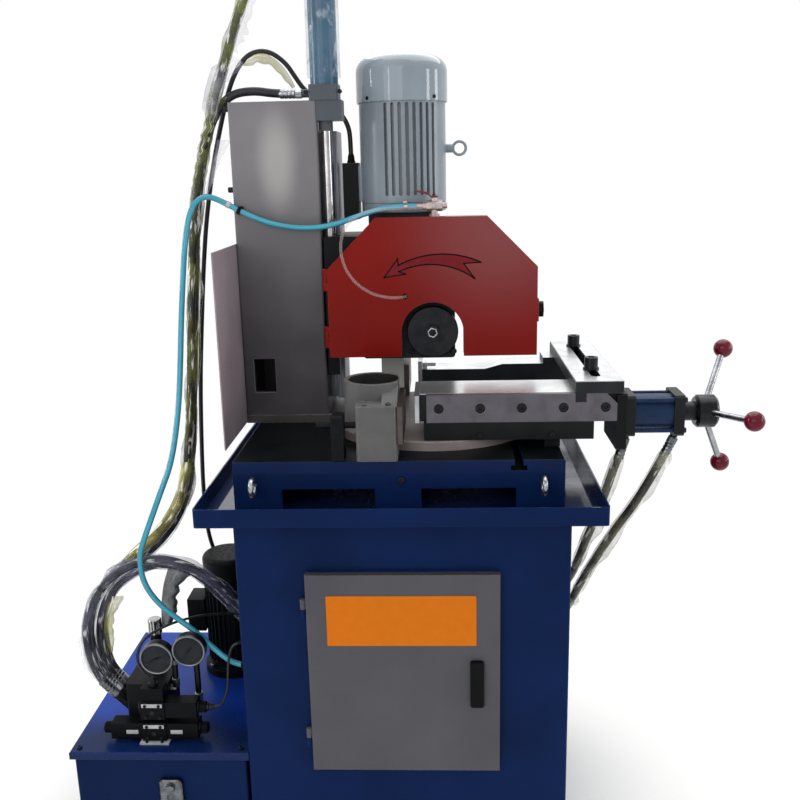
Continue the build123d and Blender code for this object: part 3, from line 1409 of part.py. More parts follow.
# Vice cylinder: barrel, tie rods and square caps with hose ports below
tie_places = [(a * tie_rod_pitch / 2, b * tie_rod_pitch / 2) for a in (-1, 1) for b in (-1, 1)]
with BuildPart() as vice_cylinder:
    block(front_cap_x, cap_y, cap_z)
    block(rear_cap_x, cap_y, cap_z)
    chamfer(vice_cylinder.edges().filter_by(Axis.X), length=cap_bevel)
    for span in (front_cap_x, rear_cap_x):
        port_x = (span[0] + span[1]) / 2
        bar((port_x, screw_y, cap_z[0] - cap_port_l), (port_x, screw_y, cap_z[0]), cap_port_r)
    bar((barrel_x[0], screw_y, screw_z), (barrel_x[1], screw_y, screw_z), cylinder_bore_r + cylinder_wall)
    for offset_y, offset_z in tie_places:
        bar((barrel_x[0], screw_y + offset_y, screw_z + offset_z),
            (barrel_x[1], screw_y + offset_y, screw_z + offset_z), tie_rod_r)
    bar((barrel_x[0], screw_y, screw_z), (barrel_x[1], screw_y, screw_z), cylinder_bore_r, Mode.SUBTRACT)
    bar((front_cap_x[0] - 1, screw_y, screw_z), (rear_cap_x[1] + 1, screw_y, screw_z),
        piston_rod_r + turn_gap, Mode.SUBTRACT)
vice_cylinder.part.label = "vice_cylinder"
export_step(vice_cylinder.part, "parts/vice_cylinder.step")

# Vice piston on its hollow rod
piston_x = (barrel_x[0] + piston_inset, barrel_x[0] + piston_inset + piston_t)
with BuildPart() as vice_piston:
    bar((bracket_x[0] + piston_rod_inset, screw_y, screw_z), (hub_x[0], screw_y, screw_z), piston_rod_r)
    bar((piston_x[0], screw_y, screw_z), (piston_x[1], screw_y, screw_z), cylinder_bore_r - turn_gap)
    bar((bracket_x[0], screw_y, screw_z), (hub_x[0] + 1, screw_y, screw_z), vice_screw_r + turn_gap,
        Mode.SUBTRACT)
vice_piston.part.label = "vice_piston"
export_step(vice_piston.part, "parts/vice_piston.step")

# Vice screw through the piston rod into the nut
with BuildPart() as vice_screw:
    bar((hub_x[0] - vice_screw_l, screw_y, screw_z), (hub_x[0], screw_y, screw_z), vice_screw_r)
    chamfer(vice_screw.faces().sort_by(Axis.X)[0].edges(), length=vice_screw_bevel)
vice_screw.part.label = "vice_screw"
export_step(vice_screw.part, "parts/vice_screw.step")

# Handwheel hub with three spokes that lean outwards
ball_angles = [ball_phase + 120 * k for k in range(3)]


# Point at a reach from the screw's axis, in the direction of a spoke
def around(x, reach, angle):
    turn = math.radians(angle)
    return (x, screw_y + reach * math.cos(turn), screw_z + reach * math.sin(turn))


with BuildPart() as handwheel:
    bar((hub_x[0], screw_y, screw_z), (hub_x[1], screw_y, screw_z), hub_r)
    chamfer(handwheel.edges().filter_by(GeomType.CIRCLE), length=hub_chamfer)
    for angle in ball_angles:
        bar(around(hub_x[0] + spoke_root_x, spoke_seat, angle), around(hub_x[0] + ball_x, ball_reach, angle),
            spoke_r)
        with Locations(around(hub_x[0] + ball_x, ball_reach, angle)):
            Sphere(ball_r, mode=Mode.SUBTRACT)
handwheel.part.label = "handwheel"
export_step(handwheel.part, "parts/handwheel.step")

# Ball knobs on the spokes
with BuildPart() as handwheel_balls:
    for angle in ball_angles:
        with Locations(around(hub_x[0] + ball_x, ball_reach, angle)):
            Sphere(ball_r)
handwheel_balls.part.label = "handwheel_balls"
export_step(handwheel_balls.part, "parts/handwheel_balls.step")

# Oil tank on two skids
with BuildPart() as oil_tank:
    block(tank_x, tank_y, tank_z)
    fillet(oil_tank.edges().filter_by(Axis.Z), radius=pedestal_corner_r)
    block(inset(tank_x, tank_wall), inset(tank_y, tank_wall), (tank_z[0] + tank_wall, tank_z[1] + 1),
          Mode.SUBTRACT)
    for skid in (tank_x[0], tank_x[1] - tank_skid_w):
        block((skid, skid + tank_skid_w), tank_y, (0, tank_skid_h))
oil_tank.part.label = "oil_tank"
export_step(oil_tank.part, "parts/oil_tank.step")

# Tank lid, against the pedestal's side
with BuildPart() as tank_lid:
    block(inset(tank_x, -lid_lap), inset(tank_y, -lid_lap), (tank_z[1], lid_z))
    chamfer(tank_lid.faces().sort_by(Axis.Z)[-1].edges(), length=lid_edge)
tank_lid.part.label = "tank_lid"
export_step(tank_lid.part, "parts/tank_lid.step")

# Oil level gauge on the tank's front
level_z = lid_z - gauge_plate_drop - gauge_plate_h / 2
sight_y = tank_y[0] - gauge_plate_t
with BuildPart() as level_gauge:
    with BuildSketch(Plane(origin=(gauge_plate_x, tank_y[0], level_z), x_dir=(1, 0, 0), z_dir=(0, -1, 0))):
        RectangleRounded(gauge_plate_w, gauge_plate_h, gauge_corner_r)
    extrude(amount=gauge_plate_t)
    chamfer(level_gauge.faces().sort_by(Axis.Y)[0].edges(), length=gauge_edge)
    with BuildSketch(Plane(origin=(gauge_plate_x, sight_y, level_z), x_dir=(1, 0, 0), z_dir=(0, -1, 0))):
        SlotOverall(sight_l, sight_w, rotation=90)
    extrude(amount=-sight_depth, mode=Mode.SUBTRACT)
    for side in (-1, 1):
        bolt_z = level_z + side * gauge_bolt_pitch / 2
        hexagon((gauge_plate_x, sight_y, bolt_z), (0, -1, 0), gauge_bolt_af, gauge_bolt_h)
level_gauge.part.label = "level_gauge"
export_step(level_gauge.part, "parts/level_gauge.step")

# Valve manifold standing on the lid, with its hose ports and the relief valve
block_front = block_y - block_d / 2
port_ys = [block_y + port_pitch * (k - 1.5) for k in range(4)]
port_end_x = block_x - block_w / 2 - port_reach
port_end_z = lid_z + port_rise
relief_at = (block_x + relief_x, block_y + relief_y)
relief_top = block_top + relief_h
with BuildPart() as valve_manifold:
    block((block_x - block_w / 2, block_x + block_w / 2), (block_y - block_d / 2, block_y + block_d / 2),
          (lid_z, block_top))
    chamfer(valve_manifold.edges().filter_by(Axis.Z), length=block_bevel)
    bar((*relief_at, block_top), (*relief_at, relief_top), relief_r)
    hexagon((*relief_at, block_top), (0, 0, 1), 2 * relief_r + relief_nut, relief_nut_h)
    bar((*relief_at, relief_top - relief_stem_l - pin_end_gap), (*relief_at, relief_top + 1),
        relief_stem_r + turn_gap, Mode.SUBTRACT)
    for port_y in port_ys:
        bar((port_end_x + port_reach + port_sink, port_y, port_end_z - port_reach - port_sink),
            (port_end_x, port_y, port_end_z), port_r)
valve_manifold.part.label = "valve_manifold"
export_step(valve_manifold.part, "parts/valve_manifold.step")

# Relief valve's adjusting knob
knob_span = (relief_top + panel_gap, relief_top + panel_gap + relief_knob_h)
with BuildPart() as relief_knob:
    bar((*relief_at, knob_span[0]), (*relief_at, knob_span[1]), relief_knob_r)
    chamfer(relief_knob.edges().filter_by(GeomType.CIRCLE), length=relief_knob_bevel)
    with Locations((*relief_at, (knob_span[0] + knob_span[1]) / 2)):
        with PolarLocations(relief_knob_r + relief_knob_notch_r / 2, relief_knob_notches):
            Cylinder(relief_knob_notch_r, 2 * relief_knob_h, mode=Mode.SUBTRACT)
    bar((*relief_at, relief_top - relief_stem_l), (*relief_at, knob_span[0] + 1), relief_stem_r)
relief_knob.part.label = "relief_knob"
export_step(relief_knob.part, "parts/relief_knob.step")

# Two solenoid valves on the manifold's front face
with BuildPart() as solenoid_valves:
    for rise, ways in zip(solenoid_z, solenoid_coils):
        middle_x = block_x + solenoid_shift
        middle_y = block_front - solenoid_body_d / 2
        middle_z = lid_z + rise
        ends = (middle_x - solenoid_body_w / 2, middle_x + solenoid_body_w / 2)
        block(ends, (block_front - solenoid_body_d, block_front),
              (middle_z - solenoid_body_h / 2, middle_z + solenoid_body_h / 2))
        for way in ways:
            edge = ends[way > 0]
            far = edge + way * solenoid_l
            block((min(edge, far), max(edge, far)), (middle_y - solenoid_r, middle_y + solenoid_r),
                  (middle_z - solenoid_r, middle_z + solenoid_r))
            bar((far, middle_y, middle_z), (far + way * solenoid_knob_l, middle_y, middle_z), solenoid_knob_r)
    chamfer(solenoid_valves.edges().filter_by(Axis.X), length=solenoid_bevel)
    lead_top = lid_z + solenoid_z[-1] + solenoid_body_h / 2 + solenoid_box_h
    block((middle_x - solenoid_box_w / 2, middle_x + solenoid_box_w / 2),
          (block_front - solenoid_box_gap - solenoid_box_d, block_front - solenoid_box_gap),
          (lead_top - solenoid_box_h, lead_top))
solenoid_valves.part.label = "solenoid_valves"
export_step(solenoid_valves.part, "parts/solenoid_valves.step")

# Pressure gauges on pipes from the manifold's right side
pipe_y = block_front + block_d / 4
dial_y = block_front + dial_front
dial_face = dial_y - dial_t / 2
with BuildPart() as pressure_gauges:
    for offset_x, rise, drop in zip(dial_x, dial_z, dial_pipe_drop):
        dial_at = (block_x + offset_x, block_top + rise)
        pipe_x = max(dial_at[0], block_x + block_w / 2 + 2 * dial_stem_r)
        low_z = block_top - drop
        high_z = dial_at[1] - dial_r / 2
        bar((block_x + block_w / 2, pipe_y, low_z), (pipe_x, pipe_y, low_z), dial_stem_r)
        bar((pipe_x, pipe_y, low_z), (pipe_x, pipe_y, high_z), dial_stem_r)
        for bend_z in (low_z, high_z):
            with Locations((pipe_x, pipe_y, bend_z)):
                Sphere(dial_stem_r)
        bar((pipe_x, pipe_y, high_z), (dial_at[0], dial_y, high_z), dial_stem_r)
        bar((dial_at[0], dial_face, dial_at[1]), (dial_at[0], dial_face + dial_t, dial_at[1]), dial_r)
        bar((dial_at[0], dial_face - 1, dial_at[1]), (dial_at[0], dial_face + dial_sink, dial_at[1]),
            dial_r - dial_rim, Mode.SUBTRACT)
pressure_gauges.part.label = "pressure_gauges"
export_step(pressure_gauges.part, "parts/pressure_gauges.step")

# Pump motor standing on the lid
with BuildPart() as pump_motor:
    bar((pump_x, pump_y, lid_z), (pump_x, pump_y, lid_z + pump_flange_t), pump_flange_r)
    bar((pump_x, pump_y, lid_z + pump_flange_t), (pump_x, pump_y, lid_z + pump_h), pump_r)
    bar((pump_x, pump_y, lid_z + pump_h), (pump_x, pump_y, lid_z + pump_h + pump_cowl_h), pump_cowl_r)
    fillet(pump_motor.faces().sort_by(Axis.Z)[-1].edges(), radius=pump_cowl_edge_r)
pump_motor.part.label = "pump_motor"
export_step(pump_motor.part, "parts/pump_motor.step")


# Bend radii for a cord's route: each arc takes up to nearly half of the shorter run beside it
def cord_radii(route):
    radii = []
    for before, corner, after in zip(route, route[1:], route[2:]):
        run_in = Vector(*corner) - Vector(*before)
        run_out = Vector(*after) - Vector(*corner)
        half_turn = math.radians(run_in.get_angle(run_out)) / 2
        radii.append(0.45 * min(run_in.length, run_out.length) / math.tan(half_turn))
    return radii


# Round cord swept along its route, with its shape reported
def cord(name, route, diameter):
    radii = cord_radii(route)
    with BuildLine() as path:
        FilletPolyline(*route, radius=radii)
    middle_line = path.wire()
    with BuildSketch(Plane(origin=middle_line @ 0, z_dir=middle_line % 0)) as section:
        Circle(diameter / 2)
    tube = sweep(section.sketch, path=middle_line)
    length = middle_line.length
    share = tube.volume / (math.pi * diameter ** 2 / 4 * length)
    print(name, "length", round(length), "least radius", round(min(radii)), "volume share", round(share, 3))


# Vice hoses: from the manifold in a loop, behind the pedestal, up to the vice cylinder's ports
front_port_x = (front_cap_x[0] + front_cap_x[1]) / 2
rear_port_x = (rear_cap_x[0] + rear_cap_x[1]) / 2
cap_port_z = cap_z[0] - cap_port_l
clamp_route = [
    (port_end_x, port_ys[0], port_end_z), (port_end_x - 32, port_ys[0], port_end_z + 32), (-742, -217, 484),
    (-750, -213, 560), (-722, -208, 642), (-656, -202, 708), (-575, -190, 734), (-493, -160, 693),
    (-444, -108, 612), (-408, -36, 512), (-387, 50, 440), (-386, 160, 390), (-390, 262, 360),
    (-384, 338, 340), (-318, 378, 320), (-190, 384, 302), (-30, 384, 294), (140, 382, 302),
    (290, 374, 336), (376, 346, 374), (406, 280, 424), (420, 195, 482), (424, 100, 552), (424, 15, 618),
    (432, -45, 690), (447, -98, 770), (468, -138, 868), (front_port_x, screw_y, cap_port_z - 50),
    (front_port_x, screw_y, cap_port_z),
]
release_route = [
    (port_end_x, port_ys[2], port_end_z), (port_end_x - 32, port_ys[2], port_end_z + 32), (-732, -172, 488),
    (-731, -170, 556), (-704, -168, 628), (-648, -163, 680), (-580, -152, 702), (-516, -128, 676),
    (-466, -84, 600), (-426, -20, 496), (-391, 60, 404), (-386, 165, 352), (-394, 262, 330),
    (-394, 346, 310), (-328, 400, 286), (-190, 410, 264), (-30, 412, 254), (140, 410, 262),
    (298, 396, 290), (400, 344, 330), (428, 250, 378), (428, 150, 440), (430, 48, 534), (459, -30, 636),
    (502, -98, 776), (556, -140, 876), (rear_port_x, screw_y, cap_port_z - 50),
    (rear_port_x, screw_y, cap_port_z),
]
with BuildPart() as vice_hoses:
    cord("clamp hose", clamp_route, hose_d)
    cord("release hose", release_route, hose_d)
vice_hoses.part.label = "vice_hoses"
export_step(vice_hoses.part, "parts/vice_hoses.step")

# Feed hoses: with the loop's left side, then up beside the column to the feed cylinder's two ports
top_port = (feed_x - feed_cap_r - feed_port_l, feed_y, barrel_z[1] + feed_cap_h / 2)
low_port = (feed_x - feed_block_w / 2 - feed_port_l, feed_y, (mount_z[1] + mount_z[2]) / 2)
lower_route = [
    (port_end_x, port_ys[1], port_end_z), (port_end_x - 32, port_ys[1], port_end_z + 32), (-742, -194, 486),
    (-751, -188, 560), (-726, -170, 642), (-656, -136, 712), (-596, -86, 762), (-554, -26, 832),
    (-540, 20, 926), (-530, 44, 1046), (-519, 52, 1170), (-505, 55, 1292), (-491, 55, 1411),
    (-476, 55, 1530), (-450, 53, 1650), (-413, 48, 1768), (-380, 45, 1864), (-352, 43, 1932),
    (-330, 43, 1982), (-300, 43, 2022), (top_port[0] - 42, top_port[1], top_port[2]), top_port,
]
raise_route = [
    (port_end_x, port_ys[3], port_end_z), (port_end_x - 32, port_ys[3], port_end_z + 32), (-731, -150, 490),
    (-730, -146, 558), (-704, -134, 630), (-644, -104, 688), (-586, -56, 736), (-542, 0, 810),
    (-520, 42, 916), (-508, 66, 1040), (-497, 74, 1166), (-484, 78, 1290), (-470, 78, 1410),
    (-457, 74, 1530), (-442, 66, 1640), (-424, 58, 1712), (-386, 50, 1760), (-330, 44, 1768),
    (low_port[0] - 56, low_port[1], low_port[2]), low_port,
]
with BuildPart() as feed_hoses:
    cord("lowering hose", lower_route, hose_d)
    cord("raising hose", raise_route, hose_d)
feed_hoses.part.label = "feed_hoses"
export_step(feed_hoses.part, "parts/feed_hoses.step")

# Coolant hose: from the pedestal's side up to a clip on the column, then a slack stretch to the valve
riser_route = [
    (-pedestal_w / 2, -240, 484), (-390, -240, 484), (-432, -232, 510), (-486, -216, 556), (-536, -210, 592),
    (-576, -216, 636), (-597, -228, 692), (-594, -237, 757), (-574, -236, 830), (-549, -218, 906),
    (-529, -188, 978), (-516, -148, 1050), (-508, -110, 1143), (-503, -82, 1253), (-496, -66, 1354),
    (-487, -54, 1436), (-480, -42, 1486), (-462, -26, 1520), (-436, -10, 1532), (-407, 2, 1521.5),
    (-371, 2, 1503.5),
]
slack_route = [
    (-369, 2, 1502.5), (-339, 2, 1487.5), (-290, -6, 1470), (-225, -9, 1460), (-160, -9, 1464),
    (-100, -7, 1484), (-48, -4, 1500), (-4, valve_at[1], stem_z), (barb_x, valve_at[1], stem_z),
]
with BuildPart() as coolant_hose:
    cord("coolant riser", riser_route, coolant_d)
    cord("coolant slack", slack_route, coolant_d)
coolant_hose.part.label = "coolant_hose"
export_step(coolant_hose.part, "parts/coolant_hose.step")

# Drip tube: from the valve, round the guard's left shoulder, through the guard door
drip_level = spindle_z + drip_hole_z
drip_route = [
    (valve_at[0], drip_start_y, stem_z), (valve_at[0], drip_start_y - 18, stem_z), (68, -57, 1505),
    (48, -66, 1504), (14, -66, 1503), (-34, -60, 1502), (-84, -52, 1495), (-121, -47, 1470),
    (-137, -45, 1425), (-130, -45, 1377), (-105, -45, 1337), (-66, -45, 1311), (-28, -45, drip_level),
    (-3, -40, drip_level), (pivot_x + drip_hole_x + 3, guard_y[0] + 2, drip_level),
]
with BuildPart() as drip_tube:
    cord("drip tube", drip_route, drip_d)
drip_tube.part.label = "drip_tube"
export_step(drip_tube.part, "parts/drip_tube.step")

# Motor cable: from the pedestal up beside the hoses to a clip on the column's top, then a slack stretch
# down to the terminal box
box_top = (box_face - box_pad_t - box_w / 2, motor_y, frame_z[0] - box_drop + box_h)
cable_clip = (column_x[1] - cable_clip_x, column_y[0] + cable_clip_y, column_z[1] + cable_clip_rise)
cable_route = [
    (-pedestal_w / 2, 190, 456), (-412, 190, 456), (-470, 190, 476), (-517, 188, 534), (-545, 170, 625),
    (-545, 150, 760), (-532, 126, 930), (-520, 114, 1081), (-504, 110, 1234), (-487, 104, 1377),
    (-470, 99, 1490), (-446, 93, 1600), (-415, 82, 1707), (-384, 72, 1796), (-346, 68, 1848),
    (-300, 72, 1858), (-260, 84, 1832), (-238, 94, 1796),
    (cable_clip[0] - 21, cable_clip[1], cable_clip[2] + 10.5),
    (cable_clip[0] - 1, cable_clip[1], cable_clip[2] + 0.5),
]
cable_slack_route = [
    (cable_clip[0] + 1, cable_clip[1], cable_clip[2] - 0.5),
    (cable_clip[0] + 29, cable_clip[1], cable_clip[2] - 14.5),
    (-138, 98, 1718), (-120, 102, 1686),
    (box_top[0], box_top[1], box_top[2] + 46), box_top,
]
with BuildPart() as motor_cable:
    cord("motor cable", cable_route, motor_cable_d)
    cord("motor cable slack", cable_slack_route, motor_cable_d)
motor_cable.part.label = "motor_cable"
export_step(motor_cable.part, "parts/motor_cable.step")

# Valve leads: from the upper solenoid valve to the pedestal's side
lead_y = block_front - solenoid_body_d / 2
lead_x = block_x + solenoid_shift
lead_end_x = lead_x + solenoid_body_w / 2 + solenoid_l + solenoid_knob_l
lead_end_z = lid_z + solenoid_z[1]
upper_lead_route = [
    (lead_x, lead_y, lead_top), (lead_x, lead_y, lead_top + 17), (-606, -260, 478), (-618, -262, 515),
    (-602, -246, 556), (-556, -214, 572), (-504, -176, 574), (-450, -138, 562), (-402, -112, 550),
    (-pedestal_w / 2, -112, 550),
]
lower_lead_route = [
    (lead_end_x, lead_y, lead_end_z), (lead_end_x + 26, lead_y, lead_end_z), (-424, -262, 400),
    (-408, -266, 440), (-406, -265, 488), (-400, -261, 530), (-386, -258, 552), (-pedestal_w / 2, -258, 552),
]
with BuildPart() as valve_leads:
    cord("upper lead", upper_lead_route, lead_d)
    cord("lower lead", lower_lead_route, lead_d)
valve_leads.part.label = "valve_leads"
export_step(valve_leads.part, "parts/valve_leads.step")


# Ring round a cord between two of its points
def clip_ring(start, end, diameter):
    axis = (Vector(*end) - Vector(*start)).normalized()
    middle = (Vector(*end) + Vector(*start)) * 0.5
    low = middle - axis * (clip_l / 2)
    high = middle + axis * (clip_l / 2)
    bar(tuple(low), tuple(high), diameter / 2 + clip_t)
    bar(tuple(low - axis), tuple(high + axis), diameter / 2 + bolt_gap, Mode.SUBTRACT)


# Clips that hold the coolant hose on the column's front and the motor cable on its top
hose_clip = (Vector(*riser_route[-1]) + Vector(*slack_route[0])) * 0.5
with BuildPart() as hose_clips:
    block((hose_clip.X - clip_w / 2, hose_clip.X + clip_w / 2),
          (hose_clip.Y + coolant_d / 2 + clip_sink, column_y[0]),
          (hose_clip.Z - clip_h / 2, hose_clip.Z + clip_h / 2))
    clip_ring(riser_route[-1], slack_route[0], coolant_d)
    block((cable_clip[0] - cable_post_w, cable_clip[0]),
          (cable_clip[1] - cable_post_d / 2, cable_clip[1] + cable_post_d / 2),
          (column_z[1], cable_clip[2] - motor_cable_d / 2 - clip_sink))
    clip_ring(cable_route[-1], cable_slack_route[0], motor_cable_d)
hose_clips.part.label = "hose_clips"
export_step(hose_clips.part, "parts/hose_clips.step")
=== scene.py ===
import bpy
import bmesh
import math
from functools import partial
from mathutils import Matrix, Vector, noise


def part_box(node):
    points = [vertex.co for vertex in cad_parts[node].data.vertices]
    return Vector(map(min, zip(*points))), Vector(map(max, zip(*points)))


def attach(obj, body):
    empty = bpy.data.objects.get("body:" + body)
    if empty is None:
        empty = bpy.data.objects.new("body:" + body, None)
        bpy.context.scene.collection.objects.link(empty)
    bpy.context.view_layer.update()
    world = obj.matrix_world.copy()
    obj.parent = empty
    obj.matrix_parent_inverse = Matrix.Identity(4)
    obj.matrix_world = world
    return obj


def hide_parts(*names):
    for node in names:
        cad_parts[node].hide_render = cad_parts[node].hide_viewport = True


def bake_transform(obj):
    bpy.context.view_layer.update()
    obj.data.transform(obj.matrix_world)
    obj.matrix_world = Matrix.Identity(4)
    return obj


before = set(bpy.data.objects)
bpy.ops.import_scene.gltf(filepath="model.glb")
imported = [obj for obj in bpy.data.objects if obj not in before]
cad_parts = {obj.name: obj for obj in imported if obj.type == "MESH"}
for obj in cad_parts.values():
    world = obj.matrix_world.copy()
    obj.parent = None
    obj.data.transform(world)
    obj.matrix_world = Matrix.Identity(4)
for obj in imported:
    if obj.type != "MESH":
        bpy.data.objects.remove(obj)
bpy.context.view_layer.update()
scene = bpy.context.scene
mm = 0.001  # sizes and routes below are in millimetres
# axes that pieces share: spindle, vice, saw motor
spindleX, spindleZ = 70, 1216
viceY, viceZ = -157, 1057
motorX, motorY = 5, 110
print("frame loaded:", len(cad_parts), "nodes")


def linear(hexColor):
    channels = [int(hexColor[i:i + 2], 16) / 255 for i in (1, 3, 5)]
    return tuple(c / 12.92 if c < 0.04045 else ((c + 0.055) / 1.055) ** 2.4 for c in channels) + (1.0,)


# fills or links inputs: a node stands for its first live output, a hex value for its colour
def feed(node, inputs):
    for key, value in inputs.items():
        if isinstance(value, bpy.types.Node):
            value = next(output for output in value.outputs if output.enabled)
        if isinstance(value, bpy.types.NodeSocket):
            node.id_data.links.new(value, node.inputs[key])
        else:
            node.inputs[key].default_value = linear(value) if isinstance(value, str) else value


# adds a node with its settings and inputs; "stops" are a ramp's (place, colour) pairs
def addNode(tree, kind, inputs=None, stops=(), **settings):
    node = tree.nodes.new("ShaderNode" + kind)
    for key, value in settings.items():
        setattr(node, key, value)
    if stops:
        ramp = node.color_ramp
        while len(ramp.elements) < len(stops):
            ramp.elements.new(0.5)
        for element, (place, color) in zip(ramp.elements, stops):
            element.position = place
            element.color = linear(color)
    feed(node, inputs or {})
    return node


# camera at the photograph's place, from its vanishing points
viewPoint = {
    "place": (88.6, -2148.0, 1584.0),
    "yaw": 2.64,
    "pitch": 13.93,
    "roll": -1.33,
    "lens": 41.63,
    "sensor": 36.0,
}


def setCamera():
    yaw, pitch, roll = (math.radians(viewPoint[key]) for key in ("yaw", "pitch", "roll"))
    ahead = Vector((-math.sin(yaw) * math.cos(pitch), math.cos(yaw) * math.cos(pitch), -math.sin(pitch)))
    level = Vector((math.cos(yaw), math.sin(yaw), 0))
    above = level.cross(ahead)
    right = level * math.cos(roll) + above * math.sin(roll)
    up = above * math.cos(roll) - level * math.sin(roll)
    camera = bpy.data.objects.new("camera", bpy.data.cameras.new("camera"))
    camera.data.lens = viewPoint["lens"]
    camera.data.sensor_width = viewPoint["sensor"]
    camera.matrix_world = Matrix.Translation(Vector(viewPoint["place"]) * mm) @ Matrix(
        (right, up, -ahead)).transposed().to_4x4()
    scene.collection.objects.link(camera)
    scene.camera = camera


setCamera()
print("camera set")


# materials

def startMaterial(name):
    material = bpy.data.materials.new(name)
    material.use_nodes = True
    material.node_tree.nodes.clear()
    add = partial(addNode, material.node_tree)
    shader = add("BsdfPrincipled")
    add("OutputMaterial", {"Surface": shader})
    return material, add, shader, add("TexCoord").outputs["Object"]


# closes a surface: rounded edges painted another colour along them (a painted edge highlight, chipped where
# chips are given), and relief as (pattern, strength, depth)
def closeSurface(add, shader, color, rough, relief, edgeWidth, edgeColor=None, chips=None):
    soft = add("Bevel", {"Radius": edgeWidth * mm}, samples=4)
    if edgeColor:
        flat = add("NewGeometry").outputs["Normal"]
        turn = add("VectorMath", {0: soft, 1: flat}, operation="DOT_PRODUCT")
        edge = add("MapRange", {"Value": turn, "From Min": 0.998, "From Max": 0.9})
        if chips:
            pattern, low, high = chips
            broken = add("MapRange", {"Value": pattern, "From Min": low, "From Max": high})
            edge = add("Math", {0: edge, 1: broken}, operation="MULTIPLY")
        color = add("Mix", {0: edge, 6: color, 7: edgeColor}, data_type="RGBA")
    pattern, strength, depth = relief
    bump = add("Bump", {"Strength": strength, "Distance": depth * mm, "Height": pattern, "Normal": soft})
    feed(shader, {"Base Color": color, "Roughness": rough, "Normal": bump})


# sprayed enamel on sheet steel or castings: soft gloss, orange-peel ripple, settled dust, edges rubbed thin
# and painted lighter as an edge highlight
def sprayedEnamel(name, tone, shade, wornAndLitEdge, gloss=0.42, specular=0.25, peel=4.0, ripple=0.12, cloud=220,
                  dust="#6f7074", dustShare=0.16, mottle=0.2, wet=0.0, shaded=None, sheenSpot=None):
    material, add, shader, place = startMaterial(name)
    drift = add("TexNoise", {"Vector": place, "Scale": 1000 / cloud, "Detail": 5.0})
    under = add("ValToRGB", {"Fac": drift}, [(0.32, shade), (0.68, tone)])
    speck = add("TexNoise", {"Vector": place, "Scale": 1000 / 7, "Detail": 6.0, "Roughness": 0.68})
    settled = add("MapRange", {"Value": speck, "From Min": 0.5, "From Max": 0.8, "To Max": dustShare})
    # painted shade: darker towards the front, from start to end along Y
    if shaded:
        start, end, dark = shaded
        depth = add("SeparateXYZ", {0: place}).outputs["Y"]
        near = add("MapRange", {"Value": depth, "From Min": start * mm, "From Max": end * mm},
                   interpolation_type="SMOOTHSTEP")
        under = add("Mix", {0: near, 6: dark, 7: under}, data_type="RGBA")
    # painted sheen: paler round a point in X and Z, fading out at the radius
    if sheenSpot:
        x, z, radius, paintedSheen = sheenSpot
        off = add("VectorMath", {0: place, 1: (1, 0, 1), 2: (-x * mm, 0, -z * mm)}, operation="MULTIPLY_ADD")
        far = add("VectorMath", {0: off}, operation="LENGTH")
        near = add("MapRange", {"Value": far, "From Max": radius * mm, "To Min": 1.0, "To Max": 0.0},
                   interpolation_type="SMOOTHSTEP")
        under = add("Mix", {0: near, 6: under, 7: paintedSheen}, data_type="RGBA")
    dusted = add("Mix", {0: settled, 6: under, 7: dust}, data_type="RGBA")
    rough = add("MapRange", {"Value": speck, "From Min": 0.3, "From Max": 0.75,
                             "To Min": gloss - 0.3 * mottle, "To Max": gloss + 0.7 * mottle})
    peelNoise = add("TexNoise", {"Vector": place, "Scale": 1000 / peel, "Detail": 2.0})
    closeSurface(add, shader, dusted, rough, (peelNoise, ripple, 0.4), 1.6, wornAndLitEdge, (speck, 0.42, 0.62))
    feed(shader, {"Specular IOR Level": specular})
    if wet:
        facing = add("SeparateXYZ", {0: add("NewGeometry").outputs["True Normal"]}).outputs
        floor = add("MapRange", {"Value": facing["Z"], "From Min": 0.8, "From Max": 0.95})
        wall = add("MapRange", {"Value": facing["X"], "From Min": -0.8, "From Max": -0.95})
        level = add("Math", {0: floor, 1: wall}, operation="MAXIMUM")
        pool = add("MapRange",
                   {"Value": drift, "From Min": 0.38, "From Max": 0.55, "To Min": 0.3, "To Max": wet})
        film = add("Math", {0: level, 1: pool}, operation="MULTIPLY")
        feed(shader, {"Coat Weight": film, "Coat Roughness": 0.07, "Coat IOR": 1.9})
    return material
